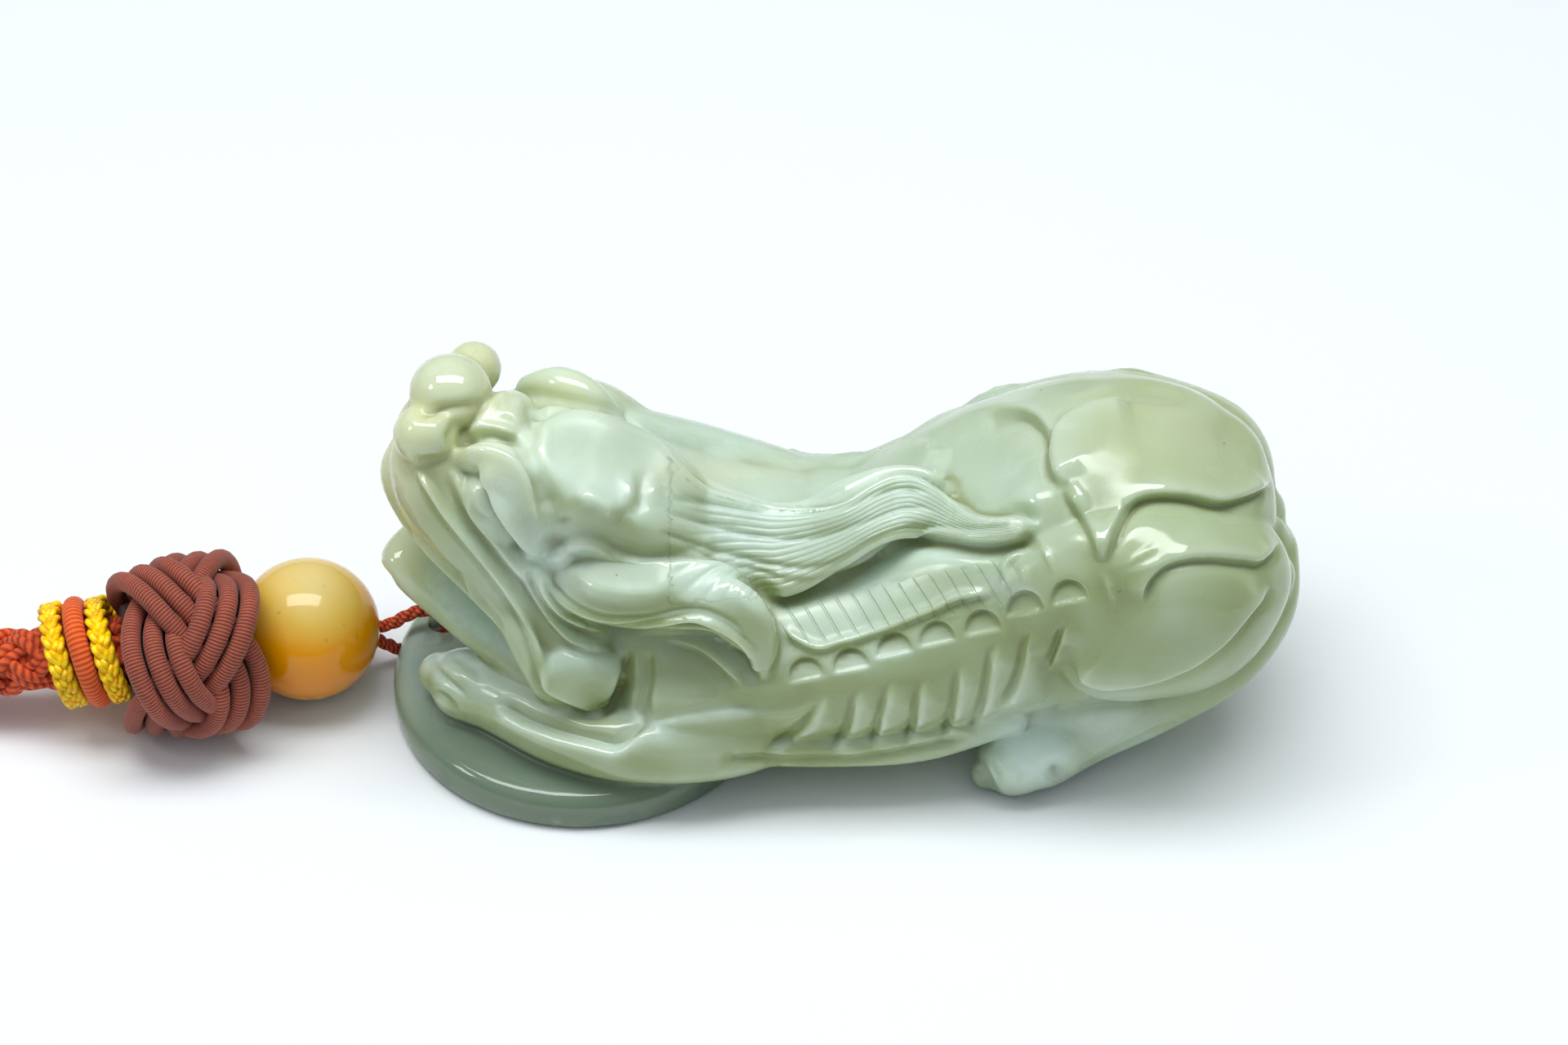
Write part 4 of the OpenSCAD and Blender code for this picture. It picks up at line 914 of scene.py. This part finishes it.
# eight ribs, from the foreleg to the haunch
ribs = [
    [[1013, 852], [1000, 868], [985, 885], [960, 905], [935, 922]],
    [[1055, 845], [1047, 860], [1040, 885], [1028, 905], [1015, 922]],
    [[1092, 835], [1085, 850], [1078, 880], [1070, 905], [1065, 918]],
    [[1132, 833], [1125, 850], [1120, 880], [1112, 905], [1108, 916]],
    [[1178, 815], [1172, 835], [1167, 865], [1160, 890], [1152, 908]],
    [[1222, 790], [1213, 808], [1208, 840], [1200, 870], [1188, 890]],
    [[1262, 772], [1255, 790], [1250, 815], [1240, 840], [1222, 865]],
    [[1305, 765], [1298, 782], [1290, 805], [1280, 828]]]
relief = {
    "nose and upper lip": [
        groove(0.35, 0.45, [[503, 497], [520, 505], [548, 500], [575, 497], [592, 488]]),
        groove(0.3, 0.4, [[556, 512], [553, 530], [545, 548]]),
        groove(0.25, 0.4, [[497, 558], [520, 566], [548, 560]]),
        ledge(0.35, 0.8, 0.2, 0.5, [[632, 486], [618, 476], [600, 490], [585, 512], [571, 533]]),
        ledge(0.3, 0.6, 0.3, 0.6, [[571, 533], [600, 527], [625, 535], [643, 545]]),
        ridge(0.15, 0.4, [[600, 515], [618, 506], [630, 510], [643, 535]]),
        groove(0.2, 0.22, [[503, 575], [517, 600], [535, 630], [560, 660], [585, 690], [607, 718], [625, 745],
            [640, 775], [650, 805], [655, 832]]),
        ledge(0.3, 0.5, 0.3, 1.2, [[670, 812], [662, 795], [650, 768], [636, 740], [618, 714], [597, 688],
            [572, 660], [548, 630], [528, 600], [512, 573]]),
    ],
    "eye, cheek and jaw": [
        ledge(0.35, 0.8, 0.3, 0.6, [[665, 640], [655, 615], [650, 592], [640, 572], [625, 556], [600, 547],
            [575, 547], [555, 552]]),
        ledge(0.45, 0.7, 0.4, 0.6, [[583, 568], [590, 582], [598, 600], [603, 620], [615, 640], [632, 662],
            [648, 682]]),
        groove(0.2, 0.2, [[581, 605], [585, 625], [598, 636], [607, 628]]),
        ledge(0.35, 0.9, 0.25, 0.6, [[548, 576], [558, 603], [580, 640], [605, 672], [622, 695], [640, 715],
            [650, 735], [668, 760], [690, 783], [715, 795], [755, 796]]),
        ledge(0.35, 0.9, 0.4, 0.6, [[663, 812], [660, 832], [668, 847], [700, 862], [726, 871], [743, 865],
            [750, 850], [758, 825], [768, 790]]),
        groove(0.3, 0.5, [[790, 790], [792, 830], [786, 862], [797, 883]]),
        ridge(0.2, 0.35, [[488, 693], [520, 720], [550, 745], [575, 765]]),
        groove(0.4, 0.5, [[500, 652], [530, 690], [560, 715], [590, 745], [615, 780]]),
        ledge(0.3, 0.6, 0.12, 0.4, [[585, 778], [545, 738], [508, 700]]),
        ridge(0.35, 0.35, [[558, 703], [573, 724], [584, 745]]),
    ],
    "forehead": [
        groove(0.3, 0.6, [[643, 480], [650, 500], [652, 530], [648, 548], [655, 565], [665, 590], [672, 615],
            [682, 632]]),
        groove(0.08, 0.7, [[690, 640], [720, 650], [750, 665], [785, 682]]),
        ridge(0.42, 0.7, [[700, 600], [730, 615], [762, 632]]),
        ridge(0.25, 0.6, [[760, 578], [772, 600], [768, 628]]),
        groove(0.25, 0.6, [[785, 575], [785, 610], [775, 635]]),
        ridge(0.2, 0.6, [[792, 580], [798, 605], [802, 620]]),
    ],
    "mane": [
        ledge(0.55, 1.6, 0.55, 0.9, mane_under, both=True),
        ledge(0.5, 1.5, 0.35, 0.9, mane_over),
        groove(0.15, 0.2, [[815, 610], [860, 618], [920, 628], [980, 632], [1030, 625], [1075, 605],
            [1110, 598], [1140, 605]]),
        groove(0.14, 0.18, [[810, 625], [860, 640], [920, 655], [980, 660], [1030, 650], [1080, 632],
            [1120, 622], [1150, 628]]),
        groove(0.18, 0.2, [[805, 650], [850, 665], [900, 680], [950, 692], [990, 695], [1030, 682],
            [1070, 658], [1110, 645], [1150, 645], [1200, 650], [1240, 645]]),
        groove(0.14, 0.18, [[830, 665], [880, 685], [930, 700], [965, 708], [1000, 703], [1040, 685]]),
    ],
    "whisker leaf": [
        ledge(0.45, 1.5, 0.12, 0.8, [[940, 835], [950, 800], [946, 765], [930, 733], [905, 707], [885, 693],
            [860, 687], [815, 686], [780, 682], [755, 675], [735, 663], [712, 659], [690, 667], [668, 690]]),
        ledge(0.45, 1, 0.6, 0.9, [[650, 695], [660, 728], [688, 757], [715, 771], [745, 777], [775, 778],
            [810, 770], [845, 763], [872, 769], [900, 787], [920, 808], [932, 834]]),
        groove(0.32, 0.22, [[663, 712], [678, 735], [705, 756], [735, 765], [770, 767], [810, 759],
            [842, 752], [870, 756], [900, 772], [928, 795]]),
        groove(0.24, 0.2, [[672, 706], [690, 730], [712, 746], [740, 755], [775, 757], [805, 752], [835, 746],
            [865, 747], [895, 760], [918, 778]]),
        ridge(0.18, 0.6, [[705, 714], [730, 725], [760, 729], [800, 727], [815, 716], [830, 713]]),
        ridge(0.15, 0.5, [[895, 715], [910, 740], [930, 755], [942, 765]]),
        ledge(0.3, 0.8, 0.2, 0.6, [[806, 782], [850, 795], [885, 820], [908, 842]]),
    ],
    "foreleg and paw": [
        ledge(0.35, 1.2, 0.45, 1, [[800, 885], [775, 905], [752, 917], [720, 911], [680, 900], [640, 885],
            [605, 862]], both=True),
        ledge(0.2, 1.5, 0.15, 1, [[1010, 852], [980, 868], [940, 873], [900, 872], [850, 878],
            [800, 885]], both=True),
        ridge(0.2, 0.4, [[537, 812], [556, 825], [572, 832], [585, 846]], both=True),
        groove(0.3, 0.25, [[522, 843], [538, 850], [552, 862], [560, 878]], both=True),
        groove(0.25, 0.25, [[526, 812], [540, 826], [558, 842], [575, 858]], both=True),
        groove(0.2, 0.3, [[536, 798], [555, 803], [572, 815], [592, 836]], both=True),
    ],
    "flank": [
        ledge(0.42, 0.5, 0.15, 1, [[958, 770], [972, 785], [1000, 797], [1030, 790], [1050, 784], [1085, 772],
            [1112, 762], [1145, 748], [1175, 735], [1218, 727]], both=True),
        ridge(0.25, 0.3, [[1225, 727], [1235, 712], [1230, 695], [1240, 680], [1262, 670]], both=True),
        ridge(0.15, 0.2, [[1272, 660], [1285, 685], [1293, 705]], both=True),
        ridge(0.15, 0.2, [[1245, 690], [1255, 705], [1265, 715]], both=True),
        *[ledge(0.4, 1.6, 0.28, 0.35, rib, both=True) for rib in ribs],
        groove(0.3, 0.35, [[880, 933], [946, 929], [1038, 930], [1108, 921], [1186, 901]], both=True),
    ],
    "haunch": [
        ledge(0.5, 2, 0.25, 0.6, [[1385, 486], [1350, 492], [1320, 502], [1298, 518], [1286, 540],
            [1284, 560], [1290, 580], [1302, 600]], both=True),
        ledge(0.4, 1.2, 0.2, 0.5, [[1302, 600], [1320, 628], [1335, 655], [1348, 690]], both=True),
        ledge(0.5, 1.8, 0.34, 0.6, [[1355, 690], [1362, 668], [1370, 645], [1380, 627], [1396, 613],
            [1420, 607], [1455, 609], [1490, 616], [1515, 613], [1542, 602], [1563, 588]], both=True),
        ledge(0.4, 1.5, 0.3, 0.6, [[1400, 742], [1404, 722], [1412, 706], [1430, 693], [1455, 686],
            [1485, 684], [1520, 688], [1545, 688], [1568, 662]], both=True),
        ledge(0.45, 1.8, 0.32, 0.8, [[1312, 815], [1322, 832], [1340, 840], [1362, 843], [1400, 838],
            [1432, 827], [1466, 810], [1500, 783], [1530, 750], [1556, 718]], both=True),
        ridge(0.2, 0.3, [[1350, 700], [1360, 722], [1370, 752]], both=True),
        ridge(0.12, 0.25, [[1372, 698], [1395, 680], [1420, 665]], both=True),
        ridge(0.12, 0.25, [[1375, 705], [1400, 695], [1425, 685]], both=True),
        ridge(0.12, 0.3, [[1295, 583], [1318, 600], [1338, 630]], both=True),
        groove(0.2, 0.3, [[1320, 945], [1400, 905], [1470, 868], [1530, 820], [1570, 760]], both=True),
        groove(0.2, 0.3, [[1215, 925], [1222, 945], [1225, 965]], both=True),
        groove(0.15, 0.25, [[1255, 932], [1250, 950], [1250, 965]], both=True),
    ],
    "back": [
        ledge(0.3, 1, 0.35, 1.2, [[1195, 507], [1215, 501], [1245, 500], [1265, 508], [1280, 522],
            [1287, 545]]),
        groove(0.2, 0.5, [[1195, 489], [1230, 476], [1290, 468], [1345, 466]]),
    ],
}

# hollows and swellings, in millimetres on the plane of the view: middle, half-sizes, turn in degrees, height,
# on both flanks or not
swellings = [
    ([13.5, 4.4], [5.6, 4.0], 10, -0.7, False), ([17.7, 1.7], [1.5, 1.5], 0, 0.28, False),
    ([27.4, 10.0], [2.9, 1.0], 3, -0.55, False), ([25.0, -5.9], [2.0, 2.6], 0, -0.35, True),
    ([20.0, -10.3], [1.1, 2.6], 0, -0.6, True), ([18.3, -15.0], [1.6, 1.3], 0, 0.25, True),
    ([19.7, -18.1], [0.7, 0.7], 0, -0.5, True), ([-15.9, 0.1], [0.5, 0.3], 0, -0.2, False),
    ([-21.8, 2.0], [0.7, 1.4], -20, 0.25, False), ([-8.2, -8.5], [3.2, 1.2], -20, -0.35, False),
    ([5.6, 2.0], [6.0, 1.3], 12, -0.2, False), ([21.3, 4.0], [1.9, 3.2], -8, 0.45, False),
    ([31.5, 5.5], [4.5, 3.5], -25, -0.5, False), ([28.0, -7.0], [4.0, 2.6], 0, 0.25, True)]
# how far the marks of the far flank lie from those of the near one, in a mirror: the head is turned a little
far_shift = {"eye, cheek and jaw": (4.7, 1.6), "forehead": (-1.5, -2.8), "mane": (0.3, -3.2),
             "whisker leaf": (1.1, -4.8), "foreleg and paw": (1.9, -1.2)}
# seven half-moon pockets along the flank
moons = [[1.5, -10.6], [4.7, -9.9], [7.8, -8.8], [10.9, -8.0], [14.2, -7.2], [17.2, -5.8], [20.4, -5.0]]
moon_tilt = math.radians(12.0)
# how much deeper than the marks the stone is cut, so that they show through the rubbing and the polish
cut_depth = 1.35
most_triangles = 188000


def swollen(flat, chosen, both_only):
    """The height of the swellings: each is a bell over an ellipse, exp(-(x/a)^2 - (y/b)^2)."""
    height = np.zeros(len(flat))
    for middle, half, turn, up_by, both in swellings:
        if both or not both_only:
            d = flat[chosen] - middle
            c, s = math.cos(math.radians(turn)), math.sin(math.radians(turn))
            x, y = (d[:, 0] * c + d[:, 1] * s) / half[0], (d[:, 1] * c - d[:, 0] * s) / half[1]
            height[chosen] += up_by * np.exp(-x**2 - y**2)
    return height


def moon_pockets(flat, chosen):
    """The height of the half-moon pockets: inside half an ellipse that stands on its flat side the floor
    slopes down to the curved wall, and a fine rim runs along the flat side."""
    height = np.zeros(len(flat))
    c, s = math.cos(moon_tilt), math.sin(moon_tilt)
    for middle in moons:
        d = flat[chosen] - middle
        a = d[:, 0] * c + d[:, 1] * s
        b = d[:, 1] * c - d[:, 0] * s + 0.75
        inside = np.minimum((1 - np.hypot(a / 1.35, b / 1.55)) * 1.4, b)
        floor = -(0.5 + 0.5 * np.tanh(inside / 0.07)) * (0.14 + 0.2 * np.clip(b, 0, 1.5))
        height[chosen] += floor + 0.07 * np.exp(-((b + 0.08) / 0.14) ** 2 - (a / 1.25) ** 6)
    return height


# The marks are cut as deep as the surface faces the eye, not beside forms that stand in front, and less deep
# on the far flank, where they keep to what can't be seen from the near one.
put_back(rough, place)
outward = unit(rubbed(normals_of(rough), edges, 8))
lift_by = np.zeros(len(place))
for flank in (1, -1):
    flat, depth = seen(place, flank)
    facing = (outward * [1, flank, 1]) @ towards_camera
    chosen = in_front(flat, depth) & (facing > 0.03) & (place[:, 2] > 0.3)
    if flank == -1:
        chosen = chosen & (place[:, 1] > 3)
    marks = []
    for part, kept in relief.items():
        shift = (0, 0) if flank == 1 else far_shift.get(part, (0, 0))
        marks += [(*mark[:5], mark[5] + shift, mark[6]) for mark in kept if flank == 1 or mark[6]]
    height = cut(flat, chosen, marks) + swollen(flat, chosen, flank == -1) + moon_pockets(flat, chosen)
    share = chosen * np.clip((facing - 0.2) / 0.3, 0, 1) * clear_of_edges(flat, depth)
    if flank == -1:
        share = 0.65 * share * np.clip((place[:, 1] - 5) / 4, 0, 1)
        share = share * np.clip(1 - (outward @ towards_camera) / 0.2, 0, 1)
    share = np.minimum(share, rubbed(share[:, None], edges, 14)[:, 0])
    lift_by += height * rubbed(share[:, None], edges, 6)[:, 0]
place = place + outward * (cut_depth * lift_by)[:, None]
place = rubbed(place, edges, 1, pull * 0.6)
place[:, 2] = np.maximum(place[:, 2], 0.0)
put_back(rough, place)
triangles = sum(len(p.vertices) - 2 for p in rough.polygons)
carved = finished_by(rough, "DECIMATE", ratio=min(1.0, most_triangles / triangles))
carved.name = "jade_beast"

# Patches of the stone, each a middle, half-sizes and a share, in millimetres on the plane of the view: paler
# ones of painted light, warmer ones in the stone's own colour, darker olive ones of painted shade under the
# forms and in recesses, painted light on the coin, and places where the polish is duller.
# painted light: patches laid paler where the stone is lit
painted_light_patches = [([-20.6, 2.2], [2.4, 4.4], 1.0), ([-17.3, -3.0], [4.2, 3.4], 1.1),
                ([18.0, -16.4], [3.8, 3.4], 1.2), ([-13.5, -4.0], [5.0, 1.6], 0.7),
                ([10.5, -2.5], [6.5, 1.5], 1.0), ([15.5, -4.2], [3.0, 2.0], 0.8),
                ([23.5, -15.0], [4.0, 2.6], 0.8)]
warm_patches = [([-4.2, 3.6], [5.0, 1.3], 0.5), ([28.0, 7.0], [8.0, 4.0], 0.4),
                ([-15.5, 9.6], [5.0, 1.8], 0.7), ([-25.5, 3.0], [2.2, 4.0], 0.6),
                ([-26.5, -2.0], [2.0, 2.5], 0.7)]
# painted shade: darker olive patches under the forms and in recesses
painted_shade_patches = [([-6.5, -10.6], [4.2, 2.2], 0.8), ([-14.0, -14.6], [3.6, 1.1], 0.9),
                 ([-25.0, 2.8], [1.6, 3.4], 0.7), ([19.6, -9.8], [1.5, 3.0], 0.8),
                 ([23.0, -3.6], [1.6, 1.6], 0.6), ([4.0, -11.6], [7.0, 0.9], 0.5),
                 ([33.0, -7.5], [2.0, 4.0], 0.6), ([-3.0, -16.0], [7.0, 1.8], 0.4)]
# painted light: the coin's lit upper left kept paler than its painted shade
painted_light_on_coin = [([-26.5, -9.5], [3.0, 4.5], 0.55)]
dull_patches = [([-15.2, 5.2], [4.2, 3.8], 1.0), ([-11.0, -3.8], [5.5, 1.4], 0.6)]
# where the hair starts and ends, and where it ends on the far flank, counted to the right on the view's plane
hair_start, hair_end, hair_end_far = -9.6, 18.4, 5

place, edges, outward = points_of(carved), edges_of(carved), normals_of(carved)
hollow = ((rubbed(place, edges, 40) - place) * outward).sum(-1)
fine = ((rubbed(place, edges, 5) - place) * outward).sum(-1)


def ramp(values, low, high):
    """Nought below low, one above high, and a smooth rise between: 3t^2 - 2t^3."""
    t = np.clip((values - low) / (high - low), 0, 1)
    return t * t * (3 - 2 * t)


def patched(patches):
    """The share of a set of patches: each is a bell over an ellipse, by * exp(-(x/a)^2 - (y/b)^2), and they
    run right through the stone."""
    flat, _ = seen(place, 1)
    share = np.zeros(len(flat))
    for middle, half, by in patches:
        share = np.maximum(share, by * np.exp(-((flat - middle) ** 2 / np.square(half)).sum(-1)))
    return share


# The hairs run between the lower and the upper edge of the mane: each point holds its share of the way
# across. The fine cuts cross a band above the half-moon pockets at a slant, one in each 1.15 mm.
hair, hair_share, nick, nick_share = np.zeros((4, len(place)))
for flank in (1, -1):
    flat, depth = seen(place, flank)
    right = flat[:, 0]
    facing = (outward * [1, flank, 1]) @ towards_camera
    chosen = in_front(flat, depth) & (facing > 0.0) & (place[:, 2] > 4)
    if flank == -1:
        chosen = chosen & (place[:, 1] > 4) & (outward @ towards_camera < 0.05)
    shift = (0, 0) if flank == 1 else far_shift["mane"]
    below, above = np.full((2, len(place)), -9.0)
    for gaps, line in ((below, mane_under), (above, mane_over[:15])):
        box, gap, _, _ = stroke(flat, chosen, from_picture(line) + shift, 7)
        gaps[box] = gap
    inside = chosen & (below > 0.1) & (above > 0.1) & (right > hair_start)
    inside &= right < (hair_end if flank == 1 else hair_end_far)
    hair[inside] = (below / np.maximum(below + above, 1e-6))[inside]
    share = ramp(below, 0.1, 0.6) * ramp(above, 0.1, 0.6) * ramp(right, -9.4, -6.5) * ramp(-right, -18.4, -15)
    hair_share[inside] = (share * clear_of_edges(flat, depth))[inside]
    band = -6.3 + (right + 0.1) * 0.2 - flat[:, 1]
    here = chosen & (right > -0.5) & (right < 17) & (band > -0.6) & (band < 3.2)
    nick[here] = ((right - band * 0.55) / 1.15)[here]
    share = ramp(band, -0.6, 0.2) * ramp(-band, -3.2, -2.4) * ramp(right, -0.5, 0.3)
    nick_share[here] = (share * ramp(-right, -17, -15.5))[here]

# The stone is painted paler where it looks up, as painted light from overhead, and in the patches of painted
# light, a little less towards the back and where the polish is dull; it is warm at the nose, the brow and the
# jaw's tip; and cool in the coin and, by a smaller share, near the table: the coin's own teal laid darker as
# painted shade, less so where painted light falls on the coin.
x, y, z = place.T
# painted light: paler where the smoothed outward direction points up
painted_top_light = ramp(unit(rubbed(outward, edges, 6))[:, 2], 0.1, 0.95)
painted_top_light = painted_top_light * (1 - 0.3 * ramp(x, 0, 8) - 0.4 * ramp(x, 12, 21))
painted_top_light = np.maximum(painted_top_light, patched(painted_light_patches)) * (1 - 0.3 * patched(dull_patches))
warm = np.maximum(ramp(z - 0.55 * (x + 24), 24, 32), ramp(-x, 27.5, 31.5) * ramp(z, 9, 15))
warm = np.maximum(warm, patched(warm_patches))
cool = np.maximum(ramp(-z, -4.1, -2.9) * ramp(-x, 3, 6), 0.6 * ramp(-z, -3.4, -1.2))
# painted light on the coin takes back part of its dark teal
cool = cool * (1 - patched(painted_light_on_coin))
for label, values in [("hollow", hollow), ("fine", fine), ("hair", hair), ("hair_share", hair_share),
                      ("nick", nick), ("nick_share", nick_share), ("warm", warm), ("cool", cool),
                      ("painted_top_light", painted_top_light), ("painted_shade", patched(painted_shade_patches)),
                      ("dull", patched(dull_patches))]:
    carved.attributes.new(label, "FLOAT", "POINT").data.foreach_set("value", values)
carved.polygons.foreach_set("use_smooth", np.ones(len(carved.polygons), bool))

jade, jade_tree, shader = new_material("celadon jade")


def worked(label):
    """A value that the carving left on the surface."""
    node = jade_tree.nodes.new("ShaderNodeAttribute")
    node.attribute_name = label
    return node.outputs["Fac"]


def cloud(scale, detail=3.0, roughness=0.5, distortion=0.0):
    """Noise through the jade, with so many lumps to the metre."""
    return clouded(jade_tree, scale, detail, roughness, distortion)


def between(value, low, high, first=0.0, last=1.0):
    """A value in the jade mapped smoothly from one range to another."""
    return mapped(jade_tree, value, low, high, first, last, smoothly=True)


def sums(kind, *values):
    """Arithmetic on values in the jade."""
    return reckoned(jade_tree, kind, *values)


def times(a, b):
    """One value in the jade times another."""
    return sums("MULTIPLY", a, b)


def tinted(under, over, share):
    """One colour laid over another by a share."""
    node = jade_tree.nodes.new("ShaderNodeMix")
    node.data_type = "RGBA"
    for socket, colour in ((node.inputs["A"], under), (node.inputs["B"], over)):
        if isinstance(colour, tuple):
            socket.default_value = (*colour, 1)
        else:
            jade_tree.links.new(colour, socket)
    jade_tree.links.new(share, node.inputs["Factor"])
    return node.outputs["Result"]


# colour: olive and green clouds; paler where the stone looks up, as painted light; paler on broad convex
# forms, as a painted highlight; darker olive in its hollows and in patches under the forms, as painted shade
olive, green, painted_top_pale, straw = (0.29, 0.365, 0.13), (0.36, 0.45, 0.22), (0.64, 0.78, 0.70), (0.66, 0.67, 0.37)
hollow_shade_olive, convex_light_pale, coin_teal_and_shade = (0.23, 0.26, 0.07), (0.66, 0.77, 0.65), (0.085, 0.145, 0.105)
fleck_pale, vein_olive, dot_brown = (0.68, 0.76, 0.65), (0.36, 0.40, 0.20), (0.05, 0.04, 0.02)
colour = tinted(olive, green, between(cloud(75.0), 0.38, 0.62))
# painted light: top-facing surfaces and the painted-light patches laid paler, in clouds
colour = tinted(colour, painted_top_pale, times(worked("painted_top_light"), between(cloud(90.0), 0.3, 0.7, 0.65, 1.0)))
colour = tinted(colour, straw, times(worked("warm"), between(cloud(130.0), 0.2, 0.7, 0.6, 0.95)))
# painted shade: darker olive laid in the hollows and in the patches of painted shade
painted_shade_share = sums("MAXIMUM", between(worked("hollow"), 0.03, 0.4, 0.0, 0.75), times(worked("painted_shade"), 0.75))
colour = tinted(colour, hollow_shade_olive, painted_shade_share)
# painted highlight: broad convex forms laid paler
colour = tinted(colour, convex_light_pale, between(times(worked("hollow"), -1.0), 0.05, 0.4, 0.0, 0.4))
# the coin's own teal, laid darker than it is as painted shade
colour = tinted(colour, coin_teal_and_shade, times(worked("cool"), 0.88))
# pale flecks, faint veins and a few brown dots
flecks = times(between(cloud(420.0, 4.0, 0.6), 0.62, 0.75), between(cloud(120.0, 2.0), 0.5, 0.7))
colour = tinted(colour, fleck_pale, times(flecks, 0.55))
veins = between(cloud(55.0, 5.0, 0.6, 1.2), 0.49, 0.515)
colour = tinted(colour, vein_olive, times(sums("SUBTRACT", 1.0, veins), 0.12))
colour = tinted(colour, dot_brown, times(between(cloud(1500.0, 1.0), 0.80, 0.84), 0.6))
jade_tree.links.new(colour, shader.inputs["Base Color"])

# polish: glossier on the ridges and worn places than in the hollows, and duller in its patches
polish = between(worked("hollow"), -0.2, 0.02, 0.1, 0.32)
ridges = between(worked("fine"), -0.075, -0.025, 1.0, 0.0)
polish = sums("MULTIPLY_ADD", ridges, -0.16, sums("MULTIPLY_ADD", worked("dull"), 0.4, polish))
jade_tree.links.new(sums("MAXIMUM", polish, 0.07), shader.inputs["Roughness"])
jade_tree.links.new(ridges, shader.inputs["Coat Weight"])

# relief finer than the mesh: the hairs as a squared wave, the fine cuts as thin furrows, and a slight ripple
wave = sums("SINE", times(sums("ADD", times(worked("hair"), 13.0), cloud(120.0, 1.0)), 6.283))
hairs = times(sums("POWER", sums("MULTIPLY_ADD", wave, 0.5, 0.5), 2.0), worked("hair_share"))
step = sums("FRACT", sums("ADD", worked("nick"), times(cloud(150.0), 0.5)))
furrow = between(sums("ABSOLUTE", sums("SUBTRACT", step, 0.5)), 0.03, 0.11)
nicks = times(sums("SUBTRACT", 1.0, furrow), worked("nick_share"))
height = sums("ADD", times(hairs, -0.5), times(nicks, -1.0))
height = sums("ADD", height, times(cloud(500.0, 2.0), 0.10))
jade_tree.links.new(bumped(jade_tree, height, 1.0, 0.00012), shader.inputs["Normal"])

shader.inputs["IOR"].default_value = 1.62
shader.inputs["Subsurface Weight"].default_value = 0.5
shader.inputs["Subsurface Radius"].default_value = (1.0, 1.1, 0.6)
shader.inputs["Subsurface Scale"].default_value = 0.0016
shader.inputs["Coat Roughness"].default_value = 0.06
carved.materials.clear()
carved.materials.append(jade)
beast = bpy.data.objects.new("jade_beast", carved)
bpy.context.scene.collection.objects.link(beast)
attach(beast, "root")
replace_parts(beast, "jade_figure")

# Table top and light
# A smooth white table top under the pendant, a long strip softbox straight overhead, light thrown back by a
# pale ceiling, which the polish doesn't mirror, a small dim softbox from the left, and a dim pale room.
span = 3.0
floor_mesh = bpy.data.meshes.new("table_top")
floor_mesh.from_pydata([(-span, -span, 0), (span, -span, 0), (span, span, 0), (-span, span, 0)], [],
                       [(0, 1, 2, 3)])
white, tree, shader = new_material("table top white")
tree.links.new(mapped(tree, clouded(tree, 30.0), 0.0, 1.0, 0.45, 0.47), shader.inputs["Roughness"])
shader.inputs["Base Color"].default_value = (0.86, 0.89, 0.91, 1)
floor_mesh.materials.append(white)
floor = bpy.data.objects.new("table_top", floor_mesh)
bpy.context.scene.collection.objects.link(floor)

world = bpy.data.worlds.new("pale room")
bpy.context.scene.world = world
world.use_nodes = True
world.node_tree.nodes["Background"].inputs["Color"].default_value = (0.86, 0.92, 1.0, 1)
world.node_tree.nodes["Background"].inputs["Strength"].default_value = 0.22


def softbox(name, place, aim, width, height, power, colour):
    """A rectangular softbox at a place, facing the point it is aimed at: its axis runs from one to the other.
    Places and sizes are in metres."""
    data = bpy.data.lights.new(name, "AREA")
    data.shape = "RECTANGLE"
    data.size = width
    data.size_y = height
    data.energy = power
    data.color = colour
    box = bpy.data.objects.new(name, data)
    away = np.array(place, float) - aim
    away = away / np.linalg.norm(away)
    box.location = place
    box.rotation_euler = (math.acos(away[2]), 0.0, math.atan2(away[0], -away[1]))
    bpy.context.scene.collection.objects.link(box)
    return box


softbox("softbox_overhead", (-0.02, 0.02, 0.42), (-0.02, 0, 0), 0.46, 0.15, 1.5, (0.97, 0.99, 1.0))
ceiling = softbox("ceiling_bounce", (0.0, -0.15, 0.85), (0, 0, 0), 1.6, 1.6, 4.2, (0.95, 0.99, 1.0))
ceiling.visible_glossy = False
softbox("softbox_left", (-0.45, -0.10, 0.40), (-0.01, 0, 0), 0.10, 0.10, 0.25, (0.95, 0.98, 1.0))
